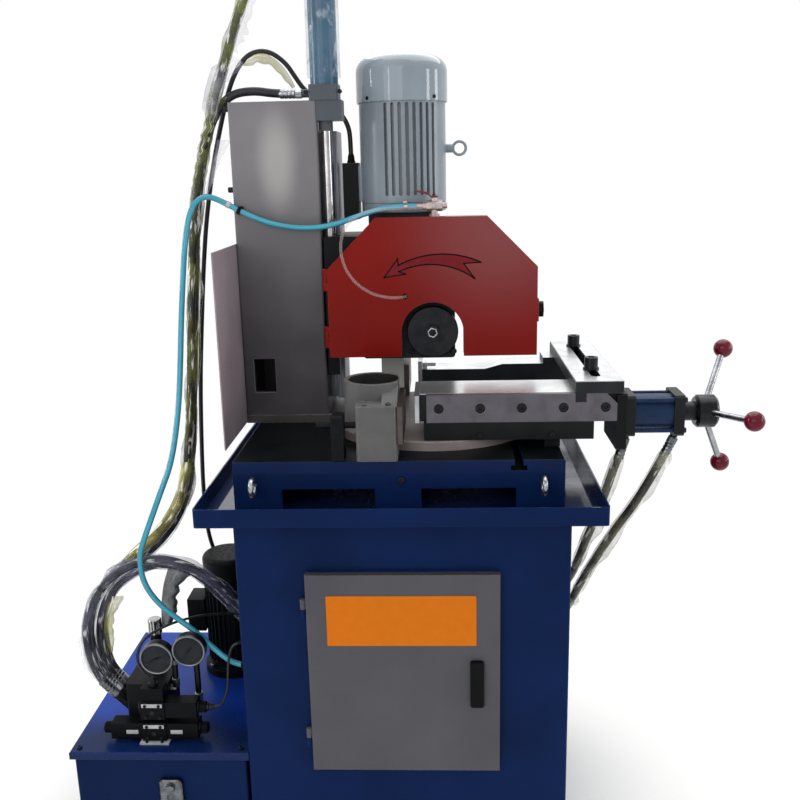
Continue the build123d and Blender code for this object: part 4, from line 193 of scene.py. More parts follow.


# the column's enamel: clouds of uneven tone, a painted highlight high on the left of the front, painted shade
# darkening it low down, and the ground guide rail on the right is bare
def columnEnamel(name, shadeLow=1120, shadeHigh=1660, railEdge=-183.5):
    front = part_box("column")[0][1]
    material, add, shader, place = startMaterial(name)
    drift = add("TexNoise", {"Vector": place, "Scale": 1000 / 260, "Detail": 4.0, "Distortion": 0.6})
    tint = add("ValToRGB", {"Fac": drift}, [(0.36, "#6f6d71"), (0.56, "#777579"), (0.72, "#838183")])
    axes = add("SeparateXYZ", {0: place}).outputs
    # painted shade: the enamel darker low down, unevenly
    lowShade = add("MapRange", {"Value": axes["Z"], "From Min": shadeLow * mm, "From Max": shadeHigh * mm,
                            "To Min": 0.95, "To Max": 0.0}, interpolation_type="SMOOTHSTEP")
    # a painted highlight, a pale oval about 50 mm wide and 130 mm high, lies high on the left of the front
    spot = add("Mapping", {"Vector": place, "Location": (5.3, -9 * front, -12.4), "Scale": (19, 9, 7.7)})
    ring = add("VectorMath", {0: spot}, operation="LENGTH")
    highlightShare = add("MapRange", {"Value": ring, "From Min": 0.2, "From Max": 1.15, "To Min": 0.6, "To Max": 0.0},
                 interpolation_type="SMOOTHSTEP")
    smear = add("TexNoise", {"Vector": place, "Scale": 1000 / 90, "Detail": 6.0})
    uneven = add("MapRange", {"Value": smear, "To Min": 0.8, "To Max": 1.15})
    amount = add("Math", {0: lowShade, 1: uneven}, operation="MULTIPLY", use_clamp=True)
    darkened = add("Mix", {0: amount, 6: tint, 7: "#393639"}, data_type="RGBA")
    highlighted = add("Mix", {0: highlightShare, 6: darkened, 7: "#b5b3b0"}, data_type="RGBA")
    bare = add("Math", {0: axes["X"], 1: railEdge * mm}, operation="GREATER_THAN")
    lines = add("Mapping", {"Vector": place, "Scale": (1, 1, 0.02)})
    grind = add("TexNoise", {"Vector": lines, "Scale": 1000 / 1.5, "Detail": 3.0})
    steel = add("ValToRGB", {"Fac": grind}, [(0.35, "#50525a"), (0.65, "#8d8f96")])
    color = add("Mix", {0: bare, 6: highlighted, 7: steel}, data_type="RGBA")
    rough = add("MapRange", {"Value": smear, "To Min": 0.34, "To Max": 0.58})
    peel = add("TexNoise", {"Vector": place, "Scale": 1000 / 5, "Detail": 2.0})
    closeSurface(add, shader, color, rough, (peel, 0.1, 0.5), 2.5, "#8f8d90")
    feed(shader, {"Metallic": bare, "Specular IOR Level": 0.3})
    return material


# brush enamel over rough sand castings: pebbled skin, dull sheen, corners bright from rubbing and from a
# painted edge highlight
def castEnamel(name, tone, shade, wornAndLitEdge, gloss=0.5, specular=0.3, zone=None, bowlShade=None):
    grain, depth = 6.0, 0.35  # moulding sand's lumps in mm, and how strongly they show
    material, add, shader, place = startMaterial(name)
    sand = add("TexNoise", {"Vector": place, "Scale": 1000 / grain, "Detail": 5.0, "Roughness": 0.6})
    drift = add("TexNoise", {"Vector": place, "Scale": 1000 / 70, "Detail": 4.0})
    skin = add("ValToRGB", {"Fac": drift}, [(0.3, shade), (0.7, tone)])
    # zone: another colour past a line along one axis, such as the jaw casting's lighter rear, and painted
    # shade on the turntable by the column
    if zone:
        axis, start, end, other = zone
        along = add("SeparateXYZ", {0: place}).outputs[axis]
        past = add("MapRange", {"Value": along, "From Min": start * mm, "From Max": end * mm},
                   interpolation_type="SMOOTHSTEP")
        skin = add("Mix", {0: past, 6: skin, 7: other}, data_type="RGBA")
    # painted shade: darker inside a round hollow
    if bowlShade:
        x, y, radius, dark = bowlShade
        away = add("Mapping", {"Vector": place, "Location": (-x * mm, -y * mm, 0), "Scale": (1, 1, 0)})
        reach = add("VectorMath", {0: away}, operation="LENGTH")
        inside = add("Math", {0: reach, 1: radius * mm}, operation="LESS_THAN")
        skin = add("Mix", {0: inside, 6: skin, 7: dark}, data_type="RGBA")
    rough = add("MapRange", {"Value": sand, "To Min": gloss - 0.1, "To Max": gloss + 0.15})
    closeSurface(add, shader, skin, rough, (sand, depth, 0.6), 2.2, wornAndLitEdge, (sand, 0.4, 0.6))
    feed(shader, {"Specular IOR Level": specular})
    return material


# steel worked bare: grinding or turning lines along one axis, oil clouds, softened edges
def workedSteel(name, tone, shade, gloss=0.28, lay=(1, 1, 1), line=1.2, stain=45, metallic=1.0):
    material, add, shader, place = startMaterial(name)
    along = add("Mapping", {"Vector": place, "Scale": lay})
    lines = add("TexNoise", {"Vector": along, "Scale": 1000 / line, "Detail": 3.0})
    oil = add("TexNoise", {"Vector": place, "Scale": 1000 / stain, "Detail": 5.0, "Distortion": 0.4})
    tint = add("ValToRGB", {"Fac": oil}, [(0.3, shade), (0.62, tone)])
    rough = add("MapRange", {"Value": oil, "To Min": gloss - 0.06, "To Max": gloss + 0.16})
    closeSurface(add, shader, tint, rough, (lines, 0.12, 0.1), 1.0)
    feed(shader, {"Metallic": metallic})
    return material


# a piece with two finishes, each drifting between two tones, the second where the mask says
def twoFinishes(add, place, mask, cloud, first, second, paleAt=0.7):
    drift = add("TexNoise", {"Vector": place, "Scale": 1000 / cloud, "Detail": 5.0})
    under = add("ValToRGB", {"Fac": drift}, [(0.3, first[0]), (0.7, first[1])])
    over = add("ValToRGB", {"Fac": drift}, [(0.3, second[0]), (paleAt, second[1])])
    return drift, add("Mix", {0: mask, 6: under, 7: over}, data_type="RGBA")


# planed table: its top black with oil, its sides sprayed with the pedestal
def oiledTable(name):
    material, add, shader, place = startMaterial(name)
    facing = add("SeparateXYZ", {0: add("NewGeometry").outputs["True Normal"]}).outputs["Z"]
    top = add("MapRange", {"Value": facing, "From Min": 0.5, "From Max": 0.8})
    along = add("Mapping", {"Vector": place, "Scale": (0.05, 1, 1)})
    lines = add("TexNoise", {"Vector": along, "Scale": 1000 / 2, "Detail": 3.0})
    oil, color = twoFinishes(add, place, top, 70, ("#071a40", "#0a2150"), ("#04080a", "#0b1113"))
    rough = add("MapRange", {"Value": oil, "To Min": 0.26, "To Max": 0.5})
    closeSurface(add, shader, color, rough, (lines, 0.1, 0.1), 1.4, "#1d2c4c")
    feed(shader, {"Specular IOR Level": 0.1})
    return material


# handwheel: hub blacked, its three arms turned bright
def handwheelSteel(name, hubR=37):
    material, add, shader, place = startMaterial(name)
    away = add("Mapping", {"Vector": place, "Location": (0, -viceY * mm, -viceZ * mm), "Scale": (0, 1, 1)})
    reach = add("VectorMath", {0: away}, operation="LENGTH")
    arm = add("MapRange", {"Value": reach, "From Min": (hubR - 0.5) * mm, "From Max": (hubR + 0.5) * mm})
    oil, color = twoFinishes(add, place, arm, 20, ("#0d0f11", "#1c1f22"), ("#85878b", "#b2b4b8"))
    metal = add("MapRange", {"Value": arm, "To Min": 0.6, "To Max": 1.0})
    rough = add("MapRange", {"Value": oil, "To Min": 0.14, "To Max": 0.36})
    closeSurface(add, shader, color, rough, (oil, 0.01, 0.1), 1.0)
    feed(shader, {"Metallic": metal})
    return material


# saddle castings: brush-blacked sides, the top face ground bright and wiped with oil
def saddleIron(name):
    material, add, shader, place = startMaterial(name)
    facing = add("SeparateXYZ", {0: add("NewGeometry").outputs["True Normal"]}).outputs["Z"]
    ground = add("MapRange", {"Value": facing, "From Min": 0.6, "From Max": 0.9})
    along = add("Mapping", {"Vector": place, "Scale": (0.05, 1, 1)})
    lines = add("TexNoise", {"Vector": along, "Scale": 1000 / 1.6, "Detail": 3.0})
    color = twoFinishes(add, place, ground, 60, ("#141719", "#22272a"), ("#d8dcde", "#f8f9fa"), 0.65)[1]
    rough = add("MapRange", {"Value": ground, "To Min": 0.5, "To Max": 0.27})
    closeSurface(add, shader, color, rough, (lines, 0.1, 0.1), 1.4, "#6c7174")
    feed(shader, {"Metallic": ground, "Specular IOR Level": 0.2})
    return material


# vice cylinder: blacked end caps, and between them a honed tube sprayed blue
def cylinderPaint(name, tubeFrom=507.2, tubeTo=589.8):
    material, add, shader, place = startMaterial(name)
    along = add("SeparateXYZ", {0: place}).outputs["X"]
    past = add("Math", {0: along, 1: tubeFrom * mm}, operation="GREATER_THAN")
    short = add("Math", {0: along, 1: tubeTo * mm}, operation="LESS_THAN")
    tube = add("Math", {0: past, 1: short}, operation="MULTIPLY")
    drift, color = twoFinishes(add, place, tube, 30, ("#0a0c0e", "#131618"), ("#0b2242", "#102c50"))
    rough = add("MapRange", {"Value": drift, "To Min": 0.3, "To Max": 0.48})
    peel = add("TexNoise", {"Vector": place, "Scale": 1000 / 3, "Detail": 2.0})
    closeSurface(add, shader, color, rough, (peel, 0.12, 0.3), 1.6, "#2c3034")
    feed(shader, {"Specular IOR Level": 0.2})
    return material


# moulded plastic and dipped vinyl: even colour, fine pebble from the mould, softened corners
def mouldedPlastic(name, tone, shade, gloss=0.35, pebble=1.5, depth=0.08, specular=0.4, coat=0.0):
    material, add, shader, place = startMaterial(name)
    grain = add("TexNoise", {"Vector": place, "Scale": 1000 / pebble, "Detail": 2.0})
    handled = add("TexNoise", {"Vector": place, "Scale": 1000 / 18, "Detail": 4.0})
    tint = add("ValToRGB", {"Fac": handled}, [(0.3, shade), (0.7, tone)])
    rough = add("MapRange", {"Value": handled, "To Min": gloss - 0.07, "To Max": gloss + 0.12})
    closeSurface(add, shader, tint, rough, (grain, depth, 0.2), 0.8)
    feed(shader, {"Specular IOR Level": specular, "Coat Weight": coat})
    return material


# extruded vinyl tube, tinted through: the wall shows lighter where it is thin, with long soft highlights
def extrudedVinyl(name, tone, shade, gloss=0.18, alpha=1.0):
    material, add, shader, place = startMaterial(name)
    flow = add("TexNoise", {"Vector": place, "Scale": 1000 / 40, "Detail": 3.0})
    rim = add("LayerWeight", {"Blend": 0.35}).outputs["Facing"]
    mixed = add("MapRange", {"Value": flow, "To Min": -0.15, "To Max": 0.15})
    share = add("Math", {0: rim, 1: mixed}, operation="ADD", use_clamp=True)
    tint = add("ValToRGB", {"Fac": share}, [(0.0, tone), (0.85, shade)])
    bump = add("Bump", {"Strength": 0.05, "Distance": 0.3 * mm, "Height": flow})
    feed(shader, {"Base Color": tint, "Normal": bump, "Roughness": gloss, "Alpha": alpha})
    return material


# hydraulic hose: black rubber cured in cloth, so a fine wrap mark crosses it and its gloss comes in bands
def hoseRubber(name):
    material, add, shader, place = startMaterial(name)
    wrap = add("TexWave", {"Vector": place, "Scale": 1000 / 34, "Distortion": 1.5, "Detail": 2.0},
               wave_type="BANDS", bands_direction="DIAGONAL").outputs["Fac"]
    dirt = add("TexNoise", {"Vector": place, "Scale": 1000 / 22, "Detail": 6.0})
    tint = add("ValToRGB", {"Fac": dirt}, [(0.35, "#121316"), (0.7, "#2c2d31")])
    rough = add("MapRange", {"Value": dirt, "To Min": 0.34, "To Max": 0.66})
    bump = add("Bump", {"Strength": 0.2, "Distance": 0.3 * mm, "Height": wrap})
    feed(shader, {"Base Color": tint, "Roughness": rough, "Normal": bump, "Specular IOR Level": 0.4})
    return material


# polythene packing film left on the hoses: creased along the hose, clear where it is single, milky where it
# doubles, denser where it is seen edge on; creases and the edge-on rim are painted toward the glint colour as
# painted highlights
def packingFilm(name, tone, shade, glint, thin, thick):
    material, add, shader = startMaterial(name)[:3]
    laid = add("Attribute", attribute_name="laid").outputs["Vector"]
    drawn = add("Mapping", {"Vector": laid, "Scale": (1, 1, 0.16)})
    crease = add("TexNoise", {"Vector": drawn, "Scale": 1000 / 11, "Detail": 3.0, "Roughness": 0.6,
                              "Distortion": 0.5})
    fold = add("MapRange", {"Value": crease, "From Min": 0.555, "From Max": 0.66},
               interpolation_type="SMOOTHSTEP")
    layer = add("TexNoise", {"Vector": laid, "Scale": 1000 / 75, "Detail": 4.0})
    tint = add("ValToRGB", {"Fac": layer}, [(0.34, shade), (0.62, tone)])
    # painted highlight: the creases take the glint colour
    glintedCreases = add("Mix", {0: fold, 6: tint, 7: glint}, data_type="RGBA")
    doubled = add("MapRange",
                  {"Value": layer, "From Min": 0.35, "From Max": 0.66, "To Min": thin, "To Max": thick})
    rim = add("LayerWeight", {"Blend": 0.3}).outputs["Facing"]
    # painted sheen: the rim seen edge on pales towards the glint colour
    paintedSheen = add("MapRange", {"Value": rim, "From Min": 0.45, "To Max": 0.7})
    color = add("Mix", {0: paintedSheen, 6: glintedCreases, 7: glint}, data_type="RGBA")
    edgeOn = add("Math", {0: rim, 1: 0.35, 2: doubled}, operation="MULTIPLY_ADD")
    dense = add("Math", {0: fold, 1: 0.35, 2: edgeOn}, operation="MULTIPLY_ADD", use_clamp=True)
    bump = add("Bump", {"Strength": 0.7, "Distance": 1.5 * mm, "Height": crease})
    feed(shader, {"Base Color": color, "Alpha": dense, "Normal": bump, "Roughness": 0.2})
    return material


# flat glass of a gauge or sight window: clear, polished, with a faint wipe mark
def windowGlass(name, tone, alpha):
    material, add, shader, place = startMaterial(name)
    wipe = add("TexNoise", {"Vector": place, "Scale": 1000 / 14, "Detail": 3.0})
    rough = add("MapRange", {"Value": wipe, "To Min": 0.02, "To Max": 0.16})
    feed(shader, {"Base Color": tone, "Roughness": rough, "Alpha": alpha, "Specular IOR Level": 0.3})
    return material


navyEnamel = sprayedEnamel("navy enamel", "#0a2250", "#071b41", "#243a74", specular=0.06, dust="#20335c",
                           dustShare=0.08)
trayEnamel = sprayedEnamel("wet navy enamel", "#0a2250", "#071b41", "#243a74", specular=0.06, dust="#20335c",
                           dustShare=0.06, wet=1.0)
# the tank lid, with painted shade towards its front
tankEnamel = sprayedEnamel("tank enamel", "#1a48b0", "#0e2c78", "#2a4a90", gloss=0.28, specular=0.16,
                           cloud=420, dust="#24489a", dustShare=0.03, mottle=0.05,
                           shaded=(-262, -120, "#0a2150"))
# the door's light grey coat, given as a darker grey: painted shade
doorPowderInShade = sprayedEnamel("grey powder coat", "#57565b", "#4e4d52", "#858488", gloss=0.5, specular=0.12,
                           peel=1.6, ripple=0.25, dustShare=0.08)
splashEnamel = sprayedEnamel("mauve grey enamel", "#a0949a", "#8d8288", "#b8b0b5", cloud=160, specular=0.2,
                             dustShare=0.08)
columnPaint = columnEnamel("column enamel")
motorEnamel = sprayedEnamel("motor enamel", "#828c95", "#777f88", "#aab2b8", gloss=0.26, specular=0.4,
                            cloud=140, ripple=0.02, dustShare=0.01, mottle=0.03)
cowlEnamel = sprayedEnamel("cowl enamel", "#89949d", "#7f8a93", "#bcc4ca", gloss=0.07, specular=0.5,
                           cloud=140, ripple=0.01, dust="#b8bcc0", dustShare=0.01, mottle=0.03)
# the guard, with a painted sheen towards its upper right
guardEnamel = sprayedEnamel("signal red enamel", "#7e0f08", "#740b05", "#a65e55", gloss=0.3, specular=0.13,
                            cloud=180, ripple=0.04, dust="#803630", dustShare=0.02, mottle=0.04,
                            sheenSpot=(226, 1462, 300, "#7f4243"))
blackEnamel = sprayedEnamel("black enamel", "#131518", "#0b0d0f", "#3a3d40", dust="#2a2c2f", specular=0.1)
mountEnamel = sprayedEnamel("mount enamel", "#545a61", "#464c53", "#868c92", specular=0.16)
tubeEnamel = sprayedEnamel("cylinder tube enamel", "#43657d", "#38576d", "#8fa4b2", gloss=0.2, specular=0.3,
                           cloud=70, dustShare=0.05)
# jaw castings, with painted shade inside the bowl
jawEnamel = castEnamel("jaw enamel", "#646363", "#535353", "#949595", specular=0.2,
                       zone=("Y", 39, 41, "#b4b4b2"), bowlShade=(-57, -195, 55.6, "#262526"))
# turntable: darker past x = -70 towards the column, as painted shade
turntableIron = castEnamel("turntable enamel", "#8f8582", "#786e6b", "#aaa5a3", gloss=0.42,
                           zone=("X", -70, -150, "#423f3e"))
bedEnamel = castEnamel("bed enamel", "#16191b", "#0d1012", "#3c4043", specular=0.15)
gearboxIron = castEnamel("gearbox enamel", "#26282b", "#17191b", "#55585a", specular=0.2)
tableIron = oiledTable("oiled table iron")
groundSteel = workedSteel("ground steel", "#c2c5c9", "#9a9da1", lay=(0.05, 1, 1))
# fixed jaw plates: steel darkened to brown grey, as painted shade in the gap between the jaws
shadedJawSteel = workedSteel("oiled jaw steel", "#5c5452", "#423c3a", gloss=0.4, lay=(0.05, 1, 1))
gibSteel = workedSteel("planed gib steel", "#67656b", "#57555a", gloss=0.36, lay=(0.05, 1, 1), line=1.6)
turnedSteel = workedSteel("turned steel", "#8d9094", "#65686c", line=1.0)
zincPlate = workedSteel("bright zinc plate", "#b4b7bb", "#8a8d92", gloss=0.24, line=2.4, stain=9)
chromePlate = workedSteel("hard chrome", "#c3c1c2", "#9a9899", gloss=0.12, lay=(1, 1, 0.03), line=0.8)
gaugeChrome = workedSteel("worn gauge chrome", "#7d8084", "#55585c", gloss=0.2, line=1.2, stain=14)
valveBody = workedSteel("die-cast valve body", "#c3b6b2", "#9d9290", gloss=0.34, line=1.5, stain=12,
                        metallic=0.7)
bronze = workedSteel("cast bronze", "#a5804a", "#7d5c30", gloss=0.34, line=1.5, stain=16)
blackOxide = workedSteel("black oxide steel", "#222427", "#121417", gloss=0.34, line=1.4, stain=20,
                         metallic=0.7)
wheelSteel = handwheelSteel("handwheel steel")
saddlePaint = saddleIron("saddle iron")
vicePaint = cylinderPaint("vice cylinder paint")
blackNylon = mouldedPlastic("black nylon", "#0d0e11", "#08090b", gloss=0.42, specular=0.08)
knobBakelite = mouldedPlastic("maroon phenolic", "#680f26", "#560b1e", gloss=0.12, depth=0.0, specular=0.22,
                              coat=0.05)
leverVinyl = mouldedPlastic("maroon dipped vinyl", "#6d1a2c", "#561222", gloss=0.3)
whitePaint = mouldedPlastic("pale label film", "#b9bbbd", "#9c9ea1", gloss=0.4)
plateFilm = mouldedPlastic("orange vinyl film", "#d27008", "#ce6c06", gloss=0.34, pebble=3, depth=0.02,
                           specular=0.12)
markInk = mouldedPlastic("black marking ink", "#1a0505", "#120303", gloss=0.5, specular=0.1)
markRed = mouldedPlastic("dark red marking ink", "#741822", "#68141e", gloss=0.42, specular=0.12)
rubber = hoseRubber("cloth-cured hose rubber")
cableVinyl = mouldedPlastic("black cable vinyl", "#1a1b1e", "#0f1012", gloss=0.38, pebble=2)
tealVinyl = extrudedVinyl("teal vinyl hose", "#3a9cb4", "#16586e", gloss=0.1)
dripVinyl = extrudedVinyl("clear vinyl tube", "#c9b4b0", "#efe6e4", alpha=0.17)
yellowFilm = packingFilm("yellowed packing film", "#b0ab62", "#76723a", "#f4f2da", 0.45, 0.85)
clearFilm = packingFilm("clear packing film", "#84869e", "#3d3f54", "#f8f8fc", 0.05, 0.36)
woundFilm = packingFilm("wound packing film", "#c9c7ae", "#6f6b3c", "#fdfcf8", 0.04, 0.34)
oliveFilm = packingFilm("olive packing film", "#858a4e", "#343b2a", "#f6f6f2", 0.08, 0.62)
milkyFilm = packingFilm("milky packing film", "#dcdce4", "#9090a4", "#ffffff", 0.1, 0.5)
clingFilm = packingFilm("cling film", "#aebccb", "#7f91a4", "#bcc8d4", 0.02, 0.1)
smokeFilm = packingFilm("smoke-grey packing film", "#54585a", "#2c2f31", "#8f9296", 0.82, 0.96)
dialGlass = windowGlass("gauge glass", "#1b1d20", 0.12)
sightGlass = windowGlass("sight glass", "#55585a", 0.35)
# dial face: a pale dial given a dark grey, as painted shade
shadedDialFace = mouldedPlastic("dial enamel", "#33373d", "#2a2e33", gloss=0.5, specular=0.1)
dialInk = mouldedPlastic("dial ink", "#0a0b0d", "#060708", gloss=0.5, specular=0.1)
oilTone = extrudedVinyl("hydraulic oil", "#8a6a1e", "#5f4510", gloss=0.1)
print("materials made:", len(bpy.data.materials))

finishes = {
    navyEnamel: "pedestal riser oil_tank",
    trayEnamel: "drip_tray",
    tankEnamel: "tank_lid",
    doorPowderInShade: "cabinet_door",
    splashEnamel: "splash_plate",
    columnPaint: "column",
    mountEnamel: "cylinder_mount",
    tubeEnamel: "feed_cylinder",
    motorEnamel: "motor_frame",
    cowlEnamel: "fan_cowl",
    guardEnamel: "guard_shell guard_door",
    blackEnamel: "carriage terminal_box end_bracket pump_motor swivel_stop valve_manifold",
    jawEnamel: "fixed_jaws",
    turntableIron: "turntable",
    bedEnamel: "vice_bed",
    gearboxIron: "gearbox",
    tableIron: "table_top",
    groundSteel: "moving_jaw_plates",
    shadedJawSteel: "fixed_jaw_plates",
    gibSteel: "gib_plate",
    turnedSteel: "motor_rotor spindle spindle_bearings vice_screw",
    zincPlate: "lifting_eyes",
    chromePlate: "feed_rod relief_knob",
    gaugeChrome: "level_gauge",
    valveBody: "coolant_valve",
    bronze: "worm_wheel vice_nut",
    blackOxide: "vice_bolts blade_flange vice_piston pressure_gauges",
    wheelSteel: "handwheel",
    saddlePaint: "front_saddle rear_saddle yoke",
    vicePaint: "vice_cylinder",
    blackNylon: "door_lock guard_knob solenoid_valves hose_clips",
    knobBakelite: "handwheel_balls",
    leverVinyl: "coolant_lever",
    rubber: "vice_hoses feed_hoses",
    cableVinyl: "motor_cable valve_leads",
    tealVinyl: "coolant_hose",
    dripVinyl: "drip_tube",
}
for material, names in finishes.items():
    for name in names.split():
        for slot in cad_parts[name].material_slots:
            slot.material = material
print("finishes on", sum(len(names.split()) for names in finishes.values()), "nodes")


# mesh makers, all in the part's own frame

def around(count, first=0.0):
    return [first + 2 * math.pi * k / count for k in range(count)]


# solid of revolution from (along, radius) pairs, closed where a radius is 0
def turned(bm, start, axis, profile, sides=32):
    axis = Vector(axis).normalized()
    side = axis.orthogonal().normalized()
    other = axis.cross(side)
    rings = []
    for along, radius in profile:
        middle = (Vector(start) + axis * along) * mm
        turns = around(sides) if radius else [0.0]
        outs = [side * math.cos(angle) + other * math.sin(angle) for angle in turns]
        rings.append([bm.verts.new(middle + out * radius * mm) for out in outs])
    for low, high in zip(rings, rings[1:]):
        for k in range(sides):
            near, far = k, (k + 1) % sides
            corners = [low[near % len(low)], low[far % len(low)], high[far % len(high)],
                       high[near % len(high)]]
            corners = list(dict.fromkeys(corners))
            if len(corners) > 2:
                bm.faces.new(corners)


# rod with chamfered ends; six sides make a nut
def rod(bm, start, axis, length, radius, edge=0.6, sides=32):
    turned(bm, start, axis, [(0, 0), (0, radius - edge), (edge, radius), (length - edge, radius),
                             (length, radius - edge), (length, 0)], sides)


# socket head screw standing on its seat, its hexagon sunk in the head
def socketScrew(bm, seat, axis, radius, height):
    edge = 0.12 * radius
    turned(bm, seat, axis, [(0, 0), (0, radius), (height - edge, radius), (height, radius - edge),
                            (height, radius * 0.56), (height * 0.45, radius * 0.52), (height * 0.4, 0)], 24)


def block(bm, low, high, edge=0.8):
    made = bmesh.ops.create_cube(bm, size=1.0)["verts"]
    for corner in made:
        corner.co = [(low[i] + (corner.co[i] + 0.5) * (high[i] - low[i])) * mm for i in range(3)]
    edges = list({e for corner in made for e in corner.link_edges})
    bmesh.ops.bevel(bm, geom=edges, offset=edge * mm, segments=2, profile=0.7, affect="EDGES")


# flat slab from a closed outline of (across, up) pairs, thickened backwards along its depth
def slab(bm, outline, origin, depth, across=(1, 0, 0), up=(0, 0, 1)):
    across, up = Vector(across), Vector(up)
    out = across.cross(up)
    front = [bm.verts.new((Vector(origin) + across * u + up * v) * mm) for u, v in outline]
    back = [bm.verts.new(v.co - out * depth * mm) for v in front]
    caps = [bm.faces.new(front), bm.faces.new(list(reversed(back)))]
    for k in range(len(front)):
        n = (k + 1) % len(front)
        bm.faces.new([front[n], front[k], back[k], back[n]])
    for cap in caps:
        cap.normal_update()
    bmesh.ops.triangulate(bm, faces=caps, ngon_method="EAR_CLIP")


# slab from one (across, up) point to another, with its half width at each
def bar(bm, start, end, halfStart, halfEnd, origin, depth):
    along = (end - start).normalized()
    side = Vector((-along.y, along.x))
    slab(bm, [start - side * halfStart, end - side * halfEnd, end + side * halfEnd, start + side * halfStart],
         origin, depth)


# quads between rows of vertices; rings close round
def joinRows(bm, rows, rings=True):
    for low, high in zip(rows, rows[1:]):
        for k in range(len(low) if rings else len(low) - 1):
            n = (k + 1) % len(low)
            bm.faces.new([low[k], low[n], high[n], high[k]])


# tube along a line of points, its radius a number or a function of (share along, angle); "laid" keeps where
# each point lies on the unrolled film, for its creases
def sweep(bm, line, radius, sides, closed=True, laidR=0.012):
    last = len(line) - 1
    tangents = [(line[min(i + 1, last)] - line[max(i - 1, 0)]).normalized() for i in range(last + 1)]
    side = tangents[0].orthogonal().normalized()
    laid = bm.verts.layers.float_vector.new("laid")
    run = 0.0
    rings = []
    for i, (place, along) in enumerate(zip(line, tangents)):
        run += (place - line[max(i - 1, 0)]).length
        side = (side - along * side.dot(along)).normalized()
        other = along.cross(side)
        ring = []
        for angle in around(sides):
            reach = radius(i / last, angle) if callable(radius) else radius
            ring.append(bm.verts.new(place + (side * math.cos(angle) + other * math.sin(angle)) * reach * mm))
            ring[-1][laid] = (laidR * math.cos(angle), laidR * math.sin(angle), run)
        rings.append(ring)
    joinRows(bm, rings)
    if closed:
        bm.faces.new(list(reversed(rings[0])))
        bm.faces.new(rings[-1])


def finishPiece(name, bm, material, body, angle=32):
    bmesh.ops.recalc_face_normals(bm, faces=bm.faces)
    mesh = bpy.data.meshes.new(name)
    bm.to_mesh(mesh)
    bm.free()
    mesh.shade_smooth()
    mesh.set_sharp_from_angle(angle=math.radians(angle))
    piece = bpy.data.objects.new(name, mesh)
    scene.collection.objects.link(piece)
    mesh.materials.append(material)
    if body:
        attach(piece, body)
    return piece


# circle through three (across, up) points, sampled from the first to the last
def arcThrough(first, middle, last, steps):
    ax, ay = first
    bx, by = middle
    cx, cy = last
    d = 2 * (ax * (by - cy) + bx * (cy - ay) + cx * (ay - by))
    aa, bb, cc = (x * x + y * y for x, y in (first, middle, last))
    ux = (aa * (by - cy) + bb * (cy - ay) + cc * (ay - by)) / d
    uy = (aa * (cx - bx) + bb * (ax - cx) + cc * (bx - ax)) / d
    radius = math.hypot(ax - ux, ay - uy)
    start = math.atan2(ay - uy, ax - ux)
    turn = math.atan2(cy - uy, cx - ux) - start
    turn = (turn + math.pi) % (2 * math.pi) - math.pi
    angles = [start + turn * k / steps for k in range(steps + 1)]
    return [(ux + radius * math.cos(angle), uy + radius * math.sin(angle)) for angle in angles]


def roundedOutline(low, high, radius, steps=5):
    corners = [(high[0] - radius, high[1] - radius, 0), (low[0] + radius, high[1] - radius, 90),
               (low[0] + radius, low[1] + radius, 180), (high[0] - radius, low[1] + radius, 270)]
    outline = []
    for x, y, first in corners:
        for k in range(steps + 1):
            angle = math.radians(first + 90 * k / steps)
            outline.append((x + radius * math.cos(angle), y + radius * math.sin(angle)))
    return outline
